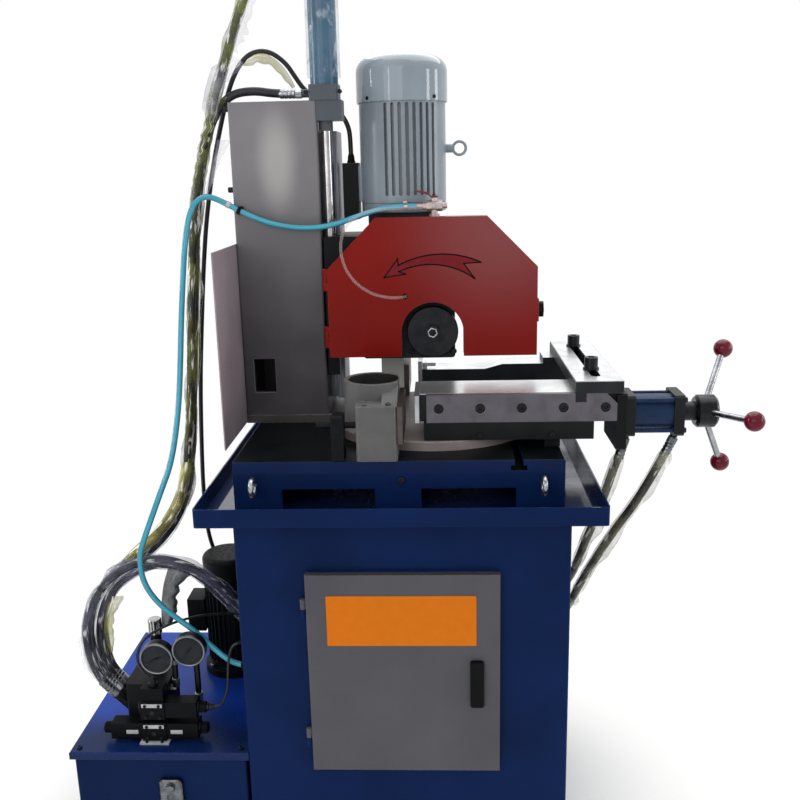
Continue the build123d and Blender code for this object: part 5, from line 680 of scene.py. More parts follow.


# cords: routes given in millimetres; the hydraulic hoses and the coolant riser lie up to 28 mm off
# their solids, nearer to the photograph
hydraulic = {"slot": "hose_rubber", "finish": rubber, "diameter": 19, "stiff": "stiff"}
coolant = {"node": "coolant_hose", "slot": "teal_hose", "finish": tealVinyl, "diameter": 13,
           "stiff": "medium"}
cable = {"slot": "hose_rubber", "finish": cableVinyl, "stiff": "medium"}
climb = ("base", "swivel", (0, 0, 760), (0, 0, 1700))  # from the base up to the swivelling column
cords = {
    "clampHose": {
        **hydraulic, "node": "vice_hoses", "length": 2822,
        "blend": ("base", "vice_piston", (400, 0, 0), (462, 0, 0)),
        "route": [
            (-686, -219, 394), (-718, -219, 426), (-742, -217, 484), (-750, -213, 560), (-722, -208, 642),
            (-656, -202, 708), (-575, -190, 734), (-493, -160, 693), (-444, -108, 612), (-408, -36, 512),
            (-387, 50, 440), (-386, 160, 390), (-390, 262, 360), (-384, 338, 340), (-318, 378, 320),
            (-190, 384, 302), (-30, 384, 294), (140, 382, 302), (290, 374, 336), (376, 346, 374),
            (406, 280, 424), (420, 195, 482), (423, 100, 552), (420, 8, 622), (426, -58, 700),
            (440, -104, 776), (460, -140, 868), (475, -155, 934), (486, -157, 964), (495, -157, 998),
        ],
    },
    "releaseHose": {
        **hydraulic, "node": "vice_hoses", "length": 2864,
        "blend": ("base", "vice_piston", (405, 0, 0), (570, 0, 0)),
        "route": [
            (-686, -175, 394), (-718, -175, 426), (-732, -172, 488), (-731, -170, 556), (-704, -168, 628),
            (-648, -163, 680), (-580, -152, 702), (-516, -128, 676), (-466, -84, 600), (-426, -20, 496),
            (-391, 60, 404), (-386, 165, 352), (-394, 262, 330), (-394, 346, 310), (-328, 400, 286),
            (-190, 410, 264), (-30, 412, 254), (140, 410, 262), (298, 396, 290), (400, 344, 330),
            (428, 250, 378), (426, 150, 440), (428, 40, 540), (456, -42, 656), (495, -106, 768),
            (530, -140, 842), (572, -155, 934), (588, -157, 970), (601, -157, 998),
        ],
    },
    "loweringHose": {
        **hydraulic, "node": "feed_hoses", "length": 1891,
        "blend": climb,
        "route": [
            (-686, -197, 394), (-718, -197, 426), (-742, -194, 486), (-751, -188, 560), (-726, -170, 642),
            (-644, -136, 714), (-576, -85, 767), (-546, -29, 832), (-538, 20, 926), (-530, 44, 1046),
            (-521, 52, 1170), (-510, 55, 1292), (-499, 55, 1411), (-485, 55, 1530), (-455, 53, 1650),
            (-413, 48, 1768), (-380, 45, 1864), (-352, 43, 1932), (-330, 43, 1982), (-300, 43, 2022),
            (-263, 43, 2045), (-221, 43, 2045),
        ],
    },
    "raisingHose": {
        **hydraulic, "node": "feed_hoses", "length": 1681,
        "blend": climb,
        "route": [
            (-686, -153, 394), (-718, -153, 426), (-731, -150, 490), (-730, -146, 558), (-704, -134, 630),
            (-640, -104, 689), (-579, -55, 738), (-543, 0, 812), (-535, 44, 916), (-529, 68, 1040),
            (-520, 76, 1166), (-509, 79, 1290), (-498, 79, 1410), (-484, 78, 1530), (-458, 72, 1640),
            (-430, 62, 1712), (-388, 50, 1760), (-330, 44, 1768), (-274, 43, 1758), (-218, 43, 1758),
        ],
    },
    "coolantRiser": {
        **coolant, "length": 1316, "blend": ("base", "swivel", (0, 0, 760), (0, 0, 1480)),
        "route": [
            (-360, -240, 484), (-390, -240, 484), (-432, -232, 510), (-486, -216, 556), (-536, -210, 592),
            (-576, -216, 636), (-597, -228, 692), (-595, -237, 757), (-580, -237, 797), (-558, -230, 852),
            (-537, -218, 906), (-519, -196, 955), (-511, -163, 1018), (-507, -130, 1088),
            (-505, -104, 1164), (-502, -82, 1254), (-495, -66, 1350), (-486, -54, 1440), (-476, -41, 1496),
            (-463, -28, 1526), (-440, -12, 1539), (-407, 2, 1524), (-371, 2, 1503.5),
        ],
    },
    "coolantSlack": {
        **coolant, "length": 420, "blend": ("swivel", "head", (-360, 0, 0), (20, 0, 0)),
        "route": [
            (-369, 2, 1502.5), (-339, 2, 1487.5), (-290, -6, 1470), (-225, -9, 1460), (-160, -9, 1464),
            (-100, -7, 1484), (-48, -4, 1500), (-4, -2, 1505), (38, -2, 1505),
        ],
    },
    "dripTube": {
        "node": "drip_tube", "slot": "clear_tube", "finish": dripVinyl, "diameter": 7, "stiff": "medium",
        "length": 505, "blend": ("head", "guard_door", (0, 0, 1500), (0, 0, 1312)),
        "route": [
            (78, -24, 1505), (78, -42, 1505), (68, -57, 1505), (48, -66, 1504), (14, -66, 1503),
            (-34, -60, 1502), (-84, -52, 1495), (-121, -47, 1470), (-137, -45, 1425), (-130, -45, 1377),
            (-105, -45, 1337), (-66, -45, 1311), (-28, -45, 1302), (-3, -40, 1302), (10, -24, 1302),
        ],
    },
    "motorCable": {
        **cable, "node": "motor_cable", "diameter": 11, "length": 1731, "blend": climb,
        "route": [
            (-360, 190, 456), (-412, 190, 456), (-470, 190, 476), (-517, 188, 534), (-545, 170, 625),
            (-545, 150, 760), (-532, 126, 930), (-520, 114, 1081), (-504, 110, 1234), (-487, 104, 1377),
            (-470, 99, 1490), (-446, 93, 1600), (-415, 82, 1707), (-384, 72, 1796), (-346, 68, 1848),
            (-300, 72, 1858), (-260, 84, 1832), (-238, 94, 1796), (-217, 98, 1766), (-197, 98, 1756),
        ],
    },
    "motorCableSlack": {
        **cable, "node": "motor_cable", "diameter": 11, "length": 187,
        "blend": ("swivel", "head", (0, 0, 1750), (0, 0, 1620)),
        "route": [
            (-195, 98, 1755), (-167, 98, 1741), (-138, 98, 1718), (-120, 102, 1686), (-118, 110, 1650),
            (-118, 110, 1604),
        ],
    },
    "upperLead": {
        **cable, "node": "valve_leads", "diameter": 6, "length": 412, "body": "base",
        "route": [
            (-586, -255, 441), (-586, -255, 458), (-606, -260, 478), (-618, -262, 515), (-602, -246, 556),
            (-556, -214, 572), (-504, -176, 574), (-450, -138, 562), (-402, -112, 550), (-360, -112, 550),
        ],
    },
    "lowerLead": {
        **cable, "node": "valve_leads", "diameter": 6, "length": 229, "body": "base",
        "route": [
            (-464, -255, 386), (-438, -255, 386), (-424, -262, 400), (-408, -266, 440), (-406, -265, 488),
            (-400, -261, 530), (-386, -258, 552), (-360, -258, 552),
        ],
    },
}


# mesh of a curve or a text, without keeping the curve
def curveMesh(curve):
    holder = bpy.data.objects.new(curve.name, curve)
    scene.collection.objects.link(holder)
    mesh = bpy.data.meshes.new_from_object(holder)
    bpy.data.objects.remove(holder)
    bpy.data.curves.remove(curve)
    return mesh


# smooth line through a route: a NURBS spline with the route's points as its control points
def routeLine(route):
    curve = bpy.data.curves.new("route", "CURVE")
    curve.dimensions = "3D"
    curve.resolution_u = 8
    spline = curve.splines.new("NURBS")
    spline.points.add(len(route) - 1)
    for point, place in zip(spline.points, route):
        point.co = (*(Vector(place) * mm), 1)
    spline.order_u = 3
    spline.use_endpoint_u = True
    mesh = curveMesh(curve)
    line = [v.co.copy() for v in mesh.vertices]
    bpy.data.meshes.remove(mesh)
    return line


def stretch(line, start, end):
    return line[int(start * (len(line) - 1)):int(end * (len(line) - 1)) + 1]


# a cord that crosses a joint, and what is wrapped on it, stays where it is laid; other cords ride their body
def carry(piece, facts):
    if "blend" in facts:
        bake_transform(piece)
    else:
        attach(piece, facts["body"])


# packing film on the hoses: (cord, from share, to share, stand-off, slack, finish)
sleeves = [
    ("clampHose", 0.025, 0.135, 2.0, 7.0, clearFilm),
    ("clampHose", 0.14, 0.335, 3.0, 14.0, clearFilm),
    ("clampHose", 0.80, 0.978, 4.0, 14.0, woundFilm),
    ("releaseHose", 0.03, 0.20, 2.0, 8.0, clearFilm),
    ("releaseHose", 0.20, 0.335, 3.0, 12.0, clearFilm),
    ("releaseHose", 0.76, 0.978, 3.0, 14.0, woundFilm),
    ("loweringHose", 0.035, 0.22, 2.0, 9.0, clearFilm),
    ("loweringHose", 0.22, 0.36, 3.0, 16.0, yellowFilm),
    ("loweringHose", 0.705, 0.76, 3.0, 20.0, milkyFilm),
    ("loweringHose", 0.70, 0.92, 2.5, 10.0, oliveFilm),
    ("raisingHose", 0.04, 0.24, 2.0, 9.0, clearFilm),
    ("raisingHose", 0.24, 0.40, 3.0, 14.0, clearFilm),
]
filmEdge = 60  # film is creased softly, so only turns beyond this many degrees stay sharp


# creases of a sleeve: size of their cells, height of the coarse and fine ones, angle at which the slack hangs
# and how far that sways, share of it that is loose and how this varies, how fast the ends draw in to the hose
folds = {"cell": 22, "coarse": 1.6, "fine": 0.8, "hangsAt": 2.1, "sway": 1.5, "loose": 0.35, "varies": 1.2,
         "drawIn": 12, "inner": 0.4}


def wrapSleeve(index, line, facts, standOff, slack, finish):
    seed = Vector((index * 3.7, 1.3, index * 1.9))
    spots = [p / (folds["cell"] * mm) for p in line]

    def radius(share, angle):
        spot = spots[round(share * (len(spots) - 1))] + seed
        out = Vector((math.cos(angle), math.sin(angle), 0.0))
        crinkle = folds["coarse"] * noise.noise(spot * 0.5 + out * 1.6)
        crinkle += folds["fine"] * noise.noise(spot * 1.4 + out * 2.6)
        droop = max(0.0, math.cos(angle - folds["hangsAt"] - folds["sway"] * noise.noise(spot * 0.2)))
        loose = folds["loose"] + folds["varies"] * noise.noise(spot * 0.3 + seed)
        taper = min(1.0, 0.2 + folds["drawIn"] * min(share, 1 - share))
        room = max(0.5, standOff + crinkle) + slack * max(0.0, loose) * droop ** 7
        return facts["diameter"] / 2 + folds["inner"] + room * taper

    bm = bmesh.new()
    sweep(bm, line, radius, 32, closed=False)
    return finishPiece(f"filmSleeve{index}", bm, finish, None, filmEdge)


# one wide sleeve round both feed hoses where they climb beside the column
bundle = {"low": 800, "high": 1762, "step": 9, "sides": 40, "room": 3.0, "coarse": 3.2, "fine": 1.5,
          "flap": 13, "cell": 85, "flapCell": 110, "laidR": 0.02}


def wrapBundle(first, second):
    bm = bmesh.new()
    laid = bm.verts.layers.float_vector.new("laid")
    depth = hydraulic["diameter"] / 2 + bundle["room"]
    rings = []
    for level in range(bundle["low"], bundle["high"], bundle["step"]):
        near, far = (min(line, key=lambda p: abs(p.z - level * mm)) for line in (first, second))
        middle = (near + far) / 2
        middle.z = level * mm
        across = Vector((far.x - near.x, far.y - near.y, 0))
        reach = across.length / 2 / mm + depth
        across.normalize()
        deep = Vector((-across.y, across.x, 0))
        ring = []
        for angle in around(bundle["sides"]):
            spot = Vector((math.cos(angle) * 1.3, math.sin(angle) * 1.3, level / bundle["cell"]))
            crinkle = bundle["coarse"] * noise.noise(spot) + bundle["fine"] * noise.noise(spot * 2.6)
            side = math.copysign(3.1, math.sin(angle))
            flap = abs(math.sin(angle - 0.4 * noise.noise(spot * 0.4))) ** 11
            loose = 0.15 + 1.4 * noise.noise(Vector((7.7, side, level / bundle["flapCell"])))
            flap *= bundle["flap"] * max(0.0, loose)
            out = across * math.cos(angle) * (reach + crinkle)
            out += deep * math.sin(angle) * (depth + crinkle + flap)
            ring.append(bm.verts.new(middle + out * mm))
            ring[-1][laid] = (bundle["laidR"] * math.cos(angle), bundle["laidR"] * math.sin(angle),
                              level * mm)
        rings.append(ring)
    joinRows(bm, rings)
    return finishPiece("filmBundle", bm, oliveFilm, None, filmEdge)


# loose ends of film, each between two edges of points: (cord it hangs on, first edge, second edge, finish)
flaps = {
    "archFlap": (
        "motorCable",
        [(-362, 72, 1836), (-345, 71, 1845), (-325, 70, 1852), (-300, 72, 1850), (-272, 78, 1832),
         (-252, 84, 1804), (-240, 90, 1776)],
        [(-362, 76, 1828), (-344, 76, 1822), (-322, 76, 1822), (-298, 78, 1822), (-274, 82, 1804),
         (-258, 88, 1784), (-250, 92, 1772)],
        yellowFilm,
    ),
    "topFlap": (
        "loweringHose",
        [(-332, 42, 1968), (-350, 42, 1932), (-366, 43, 1898), (-384, 44, 1856)],
        [(-311, 45, 1958), (-322, 45, 1914), (-338, 46, 1872), (-360, 47, 1848)],
        milkyFilm,
    ),
    "knotFlap": (
        "loweringHose",
        [(-374, 44, 1846), (-394, 42, 1826), (-410, 42, 1808), (-424, 43, 1780), (-430, 44, 1748)],
        [(-352, 54, 1830), (-366, 54, 1800), (-384, 52, 1780), (-398, 52, 1766), (-412, 52, 1746)],
        milkyFilm,
    ),
    "clipFlap": (
        "raisingHose",
        [(-424, 62, 1662), (-432, 64, 1632), (-446, 66, 1596), (-458, 70, 1560), (-468, 72, 1524)],
        [(-392, 44, 1660), (-400, 44, 1634), (-420, 50, 1600), (-442, 60, 1562), (-460, 68, 1528)],
        milkyFilm,
    ),
    "loopFlap": (
        "releaseHose",
        [(-706, -172, 626), (-720, -172, 576), (-722, -172, 524), (-712, -172, 478)],
        [(-668, -170, 626), (-684, -170, 578), (-697, -170, 528), (-702, -170, 484)],
        yellowFilm,
    ),
    "leftFlap": (
        "clampHose",
        [(-750, -215, 556), (-748, -215, 520), (-742, -215, 482), (-734, -215, 454)],
        [(-764, -217, 540), (-770, -217, 506), (-768, -217, 470), (-750, -217, 446)],
        milkyFilm,
    ),
    "tailFlap": (
        "releaseHose",
        [(-560, -140, 690), (-572, -142, 660), (-582, -144, 620), (-588, -146, 574), (-589, -148, 532)],
        [(-516, -118, 668), (-528, -122, 640), (-540, -126, 604), (-552, -130, 570), (-560, -134, 536)],
        smokeFilm,
    ),
}


# shape of a loose end: its width against its edges and how ragged this is, size of the folds' cells, height
# of the coarse and fine folds, how far the film swells, the stiffer smoke-grey one further, and which way
flapFolds = {"wide": 0.88, "ragged": 0.4, "cell": 18, "coarse": 5, "fine": 2, "bulge": 5, "stiffBulge": 12,
             "toward": (0.3, -0.9, 0.2)}


def hangFlap(name, first, second, finish, across=12, along=24):
    coarse, fine = flapFolds["coarse"], flapFolds["fine"]
    bulge = flapFolds["stiffBulge" if finish == smokeFilm else "bulge"]
    bm = bmesh.new()
    laid = bm.verts.layers.float_vector.new("laid")
    edges = [routeLine(first), routeLine(second)]
    rows = []
    for i in range(along + 1):
        ends = [edge[round(i * (len(edge) - 1) / along)] for edge in edges]
        torn = noise.noise(Vector((i * 0.37, len(name) * 1.7, 0.5)))
        ragged = flapFolds["wide"] + flapFolds["ragged"] * torn
        row = []
        for k in range(across + 1):
            place = ends[0].lerp(ends[1], k / across * ragged)
            spot = place / (flapFolds["cell"] * mm)
            swell = bulge * math.sin(math.pi * k / across)
            swell += coarse * noise.noise(spot * 0.6) + fine * noise.noise(spot * 1.7)
            row.append(bm.verts.new(place + Vector(flapFolds["toward"]) * swell * mm))
            row[-1][laid] = (0.004 * k, 0.0, (ends[0] - edges[0][0]).length)
        rows.append(row)
    joinRows(bm, rows, rings=False)
    return finishPiece(name, bm, finish, None, filmEdge)


cordLines = {}
for name, facts in cords.items():
    line = routeLine(facts["route"])
    cordLines[name] = line
    bm = bmesh.new()
    sweep(bm, line, facts["diameter"] / 2, 18)
    piece = finishPiece(name, bm, facts["finish"], None, 50)
    carry(piece, facts)
    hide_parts(facts["node"])
    wraps = []
    for index, (cord, start, end, standOff, slack, finish) in enumerate(sleeves):
        if cord == name:
            wraps.append(wrapSleeve(index, stretch(line, start, end), facts, standOff, slack, finish))
    for flap, (cord, first, second, finish) in flaps.items():
        if cord == name:
            wraps.append(hangFlap(flap, first, second, finish))
    if name == "raisingHose":
        wraps.append(wrapBundle(cordLines["loweringHose"], line))
    for wrap in wraps:
        carry(wrap, facts)
print("cords laid:", len(cords), "with", len(sleeves), "film sleeves")


# cling film left round the feed cylinder's tube
def wrapCylinder(low=1790, high=2036, step=6, room=1.8):
    corner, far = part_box("feed_cylinder")
    reach = (far.y - corner.y) / 2 / mm
    middle = Vector((far.x - reach * mm, (corner.y + far.y) / 2, 0))

    def radius(share, angle):
        spot = Vector((math.cos(angle) * 1.5, math.sin(angle) * 1.5, share * 3.2))
        return reach + room + 0.9 * noise.noise(spot) + 3 * max(0.0, noise.noise(spot * 0.7) - 0.25)

    bm = bmesh.new()
    line = [Vector((middle.x, middle.y, level * mm)) for level in range(low, high, step)]
    sweep(bm, line, radius, 48, closed=False)
    finishPiece("cylinderFilm", bm, clingFilm, "swivel", filmEdge)


wrapCylinder()


# crimped ferrule and swivel nut on each hydraulic hose end, sized for a 10 mm bore
fitting = {"ferruleR": 10.8, "ferruleL": 36, "nutR": 10.9, "nutL": 16, "grooves": 4}


def fitHoseEnd(bm, tip, away):
    nutR, nutL, crimpR, crimpL = (fitting[key] for key in ("nutR", "nutL", "ferruleR", "ferruleL"))
    turned(bm, tip, away,
           [(0, 0), (0, nutR - 1.5), (1.2, nutR), (nutL - 1.2, nutR), (nutL, nutR - 1.5), (nutL, 0)], 6)
    start = nutL - 0.5
    pitch = crimpL / fitting["grooves"]
    profile = [(start, 0), (start, crimpR - 1.5)]
    for k in range(fitting["grooves"]):
        low = start + k * pitch
        profile += [(low + 0.15 * pitch, crimpR), (low + 0.7 * pitch, crimpR),
                    (low + 0.85 * pitch, crimpR - 1.2)]
    turned(bm, tip, away, profile + [(start + crimpL, crimpR - 1.2), (start + crimpL, 0)], 28)


hoseEnds = {"clampHose": ("vice_piston", gaugeChrome), "releaseHose": ("vice_piston", gaugeChrome),
            "loweringHose": ("swivel", zincPlate), "raisingHose": ("swivel", zincPlate)}
for name, (endBody, finish) in hoseEnds.items():
    line = cordLines[name]
    for part, tip, ahead, body in (("Start", line[0], line[2], "base"), ("End", line[-1], line[-3], endBody)):
        bm = bmesh.new()
        fitHoseEnd(bm, tip / mm, ahead - tip)
        finishPiece(name + part + "Fitting", bm, finish, body)
print("hose ends fitted")


# moulded glands where leads and hoses enter the cabinet and the terminal box: (cord, its end, radius, body)
glands = [("coolantRiser", 0, 11, "base"), ("motorCable", 0, 11, "base"), ("upperLead", -1, 7, "base"),
          ("lowerLead", -1, 7, "base"), ("motorCableSlack", -1, 10, "head")]
for name, end, radius, body in glands:
    line = cordLines[name] if end == 0 else list(reversed(cordLines[name]))
    profile = [(0, 0), (0, radius), (4, radius), (5, radius - 1.5), (13, radius - 2),
               (20, cords[name]["diameter"] / 2 + 1), (20, 0)]
    bm = bmesh.new()
    turned(bm, line[0] / mm, line[2] - line[0], profile, 24)
    finishPiece(name + "Gland", bm, blackNylon, body)

# worm-drive clips on the teal hose, the one in sight with its screw housing
bandClip = {"innerR": 6, "outerR": 7.6, "wide": 9, "housing": (4.5, 7, 2.5), "housingUp": 9}
for name, share, body in (("coolantSlack", 0.955, "head"), ("coolantRiser", 0.985, "swivel")):
    line = cordLines[name]
    at = int(share * (len(line) - 1))
    axis = (line[at] - line[at - 1]).normalized()
    inner, outer, wide = bandClip["innerR"], bandClip["outerR"], bandClip["wide"]
    bm = bmesh.new()
    turned(bm, line[at] / mm - axis * wide / 2, axis,
           [(0, inner), (0, outer), (wide, outer), (wide, inner), (0, inner)], 28)
    if name == "coolantSlack":
        middle = line[at] / mm + Vector((0, 0, bandClip["housingUp"]))
        half = Vector(bandClip["housing"])
        block(bm, middle - half, middle + half)
    finishPiece(name + "BandClip", bm, zincPlate, body)
print("glands and clips fitted")


# bare orange plate on the cabinet door
doorPlate = {"low": (-165, 585), "high": (158, 702), "corner": 3, "thick": 1.0}
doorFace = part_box("cabinet_door")[0][1] / mm
filmGap = 0.02  # keeps films and labels just off the face behind them
bm = bmesh.new()
slab(bm, roundedOutline(doorPlate["low"], doorPlate["high"], doorPlate["corner"]),
     (0, doorFace - doorPlate["thick"], 0), doorPlate["thick"] - filmGap)
finishPiece("doorPlate", bm, plateFilm, "cabinet_door")


# arrow that shows which way the blade turns: filled shape, with a drawn line round it
arrow = {"tip": (-39, 1347), "upperBarb": (-7, 1389), "upperNotch": (-6, 1374), "crown": (89, 1398),
         "upperTail": (182, 1378), "tailNotch": (143, 1376), "lowerTail": (168, 1341), "belly": (66, 1375),
         "lowerNotch": (-5, 1360), "lowerBarb": (10, 1354), "line": 3.0, "steps": 18, "face": -29.5,
         "fillOff": 0.15, "fillThick": 0.13, "inkOff": 0.3, "inkThick": 0.2}


def markArrow():
    face, half = arrow["face"], arrow["line"] / 2
    outline = [arrow["tip"], arrow["lowerBarb"]]
    outline += arcThrough(arrow["lowerNotch"], arrow["belly"], arrow["lowerTail"], arrow["steps"])
    outline += [arrow["tailNotch"]]
    outline += arcThrough(arrow["upperTail"], arrow["crown"], arrow["upperNotch"], arrow["steps"])
    outline += [arrow["upperBarb"]]
    bm = bmesh.new()
    slab(bm, outline, (0, face - arrow["fillOff"], 0), arrow["fillThick"])
    finishPiece("arrowFill", bm, markRed, "guard_door")
    bm = bmesh.new()
    points = [Vector(point) for point in outline]
    for start, end in zip(points, points[1:] + points[:1]):
        along = (end - start).normalized() * half
        bar(bm, start - along, end + along, half, half, (0, face - arrow["inkOff"], 0), arrow["inkThick"])
    finishPiece("arrowLine", bm, markInk, "guard_door")


markArrow()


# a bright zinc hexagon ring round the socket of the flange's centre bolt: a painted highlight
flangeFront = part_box("blade_flange")[0][1] / mm
bm = bmesh.new()
turned(bm, (spindleX, flangeFront + 0.3, spindleZ), (0, -1, 0),
       [(0, 9), (0, 12.5), (0.6, 12.2), (0.8, 10.5), (0.6, 9), (0, 9)], 6)
finishPiece("socketHighlight", bm, zincPlate, "spindle")


# small black fasteners: name, body, and (seat, axis, head radius, head height) of each
signs = [(u, v) for u in (-1, 1) for v in (-1, 1)]
outs = [(math.cos(a), math.sin(a)) for a in around(4, math.pi / 4)]
fasteners = {
    "columnScrews": ("swivel", [((-385, 34, z), (-1, 0, 0), 6.5, 14) for z in (1728, 1549, 1260)]),
    "yokeSideScrew": ("vice_saddle", [((475, -190, 1130), (1, 0, 0), 5, 5)]),
    "riserScrew": ("base", [((2.5, -302, 952), (0, -1, 0), 7, 6)]),
    "gearboxScrews": ("head", [((spindleX + u * 50, 14, spindleZ + v * 50), (0, -1, 0), 6.5, 6.5)
                               for u, v in signs]),
    "mountScrews": ("swivel", [((-167 + u * 38, 10, 1758), (0, -1, 0), 5, 5) for u in (-1, 1)]),
    "bedScrews": ("base", [((x, -227, 1026), (0, -1, 0), 6.5, 6.5) for x in (170, 325)]),
    "capScrews": ("vice_saddle", [((612, viceY + u * 34, viceZ + v * 34), (1, 0, 0), 6, 6)
                                  for u, v in signs]),
    "lidScrews": ("base", [((x, y, 304), (0, 0, 1), 6, 4.5) for x in (-757, -380) for y in (-297, -30, 238)]),
    "cowlScrews": ("head", [((motorX + 106 * u, motorY + 106 * v, 1744), (u, v, 0), 4, 3) for u, v in outs]),
}
for name, (body, places) in fasteners.items():
    bm = bmesh.new()
    for seat, axis, radius, height in places:
        socketScrew(bm, seat, axis, radius, height)
    finishPiece(name, bm, blackOxide, body)
print("fasteners set")


# pressure gauge dials: face, ticks and numbers over three quarters of a turn, needle, glass
dial = {"centers": [(-570, 513), (-494, 533)], "needles": [205, 232], "faceY": -262.4, "glassY": -264.4,
        "rimY": -261.0, "radius": 33.5, "numbers": ["0", "5", "10", "15", "20", "25"], "numberR": 20,
        "numberSize": 7.5, "first": 225, "sweep": 270, "ticks": 50, "long": 10, "longTick": (7, 0.7),
        "shortTick": (4.6, 0.35), "needleEnds": (-12, 28), "needleHalf": (2.4, 0.7), "needleOff": 1.0}
toFront = (0, -1, 0)


def dressDial(index, center, needle):
    x, z = center
    radius = dial["radius"]
    middle = Vector((x, dial["faceY"], z))
    bm = bmesh.new()
    turned(bm, middle, toFront, [(-0.6, 0), (-0.6, radius), (0, radius), (0, 0)], 48)
    finishPiece(f"shadedDialFace{index}", bm, shadedDialFace, "base")
    bm = bmesh.new()
    ink = Vector((0, -0.25, 0))
    for k in range(dial["ticks"] + 1):
        angle = math.radians(dial["first"] - dial["sweep"] * k / dial["ticks"])
        length, half = dial["longTick"] if k % dial["long"] == 0 else dial["shortTick"]
        out = Vector((math.cos(angle), math.sin(angle)))
        bar(bm, out * (radius - length), out * (radius - 1.6), half, half, middle + ink, 0.2)
    for k, text in enumerate(dial["numbers"]):
        angle = math.radians(dial["first"] - dial["sweep"] * k / (len(dial["numbers"]) - 1))
        curve = bpy.data.curves.new("number", "FONT")
        curve.body = text
        curve.size = dial["numberSize"] * mm
        curve.align_x = curve.align_y = "CENTER"
        mesh = curveMesh(curve)
        spot = middle + ink + Vector((math.cos(angle), 0, math.sin(angle))) * dial["numberR"]
        mesh.transform(Matrix.Translation(spot * mm) @ Matrix.Rotation(math.pi / 2, 4, "X"))
        bm.from_mesh(mesh)
        bpy.data.meshes.remove(mesh)
    finishPiece(f"dialMarks{index}", bm, dialInk, "base")
    bm = bmesh.new()
    out = Vector((math.cos(math.radians(needle)), math.sin(math.radians(needle))))
    tail, point = dial["needleEnds"]
    bar(bm, out * tail, out * point, *dial["needleHalf"], middle + Vector((0, -dial["needleOff"], 0)), 0.4)
    rod(bm, middle, toFront, 1.6, 3, 0.4, 24)
    finishPiece(f"dialNeedle{index}", bm, dialInk, "base")
    bm = bmesh.new()
    turned(bm, (x, dial["rimY"], z), toFront,
           [(0, 34), (0, 38.4), (3.4, 38.4), (4.6, 37), (4.6, 35), (3.8, 34), (0, 34)], 56)
    finishPiece(f"dialRim{index}", bm, turnedSteel, "base")
    bm = bmesh.new()
    turned(bm, (x, dial["glassY"], z), toFront,
           [(-0.8, 0), (-0.8, radius), (0, radius), (0.5, radius * 0.6), (0.6, 0)], 48)
    finishPiece(f"dialGlass{index}", bm, dialGlass, "base")


for index, (center, needle) in enumerate(zip(dial["centers"], dial["needles"])):
    dressDial(index, center, needle)
print("dials dressed")


# directional valves: bare coil labels, knurled override caps, body screws, a steel foot under the lower one
valve = {"x": -586, "y": -255, "levels": (332, 386), "half": 28, "coilL": 74, "coilR": 20, "knobR": 12.2,
         "knobL": 19, "label": (10, 38), "labelTurn": 28, "ridges": 20, "face": -278, "plate": (24, 11, 20),
         "screwX": 16, "lidTop": 304, "footHalf": 34, "footBack": -232.5, "footThick": 4.8}
# hexagons of the gauge pipes and the relief knob: start, axis, length, radius
gaugeNuts = [((-560, -209, 406), (1, 0, 0), 16, 11), ((-546, -209, 412), (0, 0, 1), 22, 10),
             ((-560, -209, 370), (1, 0, 0), 18, 11), ((-494, -209, 376), (0, 0, 1), 20, 11),
             ((-494, -209, 488), (0, 0, 1), 16, 10), ((-600, -164, 430.5), (0, 0, 1), 20, 19),
             ((-546, -209, 470), (0, 0, 1), 14, 10)]
# glands of the two leads: start, axis, profile
leadGlands = [
    ((-586, -255, 440.6), (0, 0, 1), [(0, 0), (0, 11), (7, 11), (8, 8), (18, 6.5), (22, 4), (22, 0)]),
    ((-465, -255, 386), (1, 0, 0), [(0, 0), (0, 9), (6, 9), (7, 7), (16, 6), (20, 4), (20, 0)]),
]


def curvedLabel(bm, low, high, middle, radius, turn, steps=8, thick=0.5):
    rows = []
    for k in range(steps + 1):
        angle = math.radians(180 - turn + 2 * turn * k / steps)
        out = Vector((0, math.cos(angle), math.sin(angle)))
        ring = ((low, radius), (high, radius), (high, radius + thick), (low, radius + thick))
        rows.append([bm.verts.new((Vector((x, *middle)) + out * r) * mm) for x, r in ring])
    joinRows(bm, rows)
    bm.faces.new(rows[0])
    bm.faces.new(rows[-1])


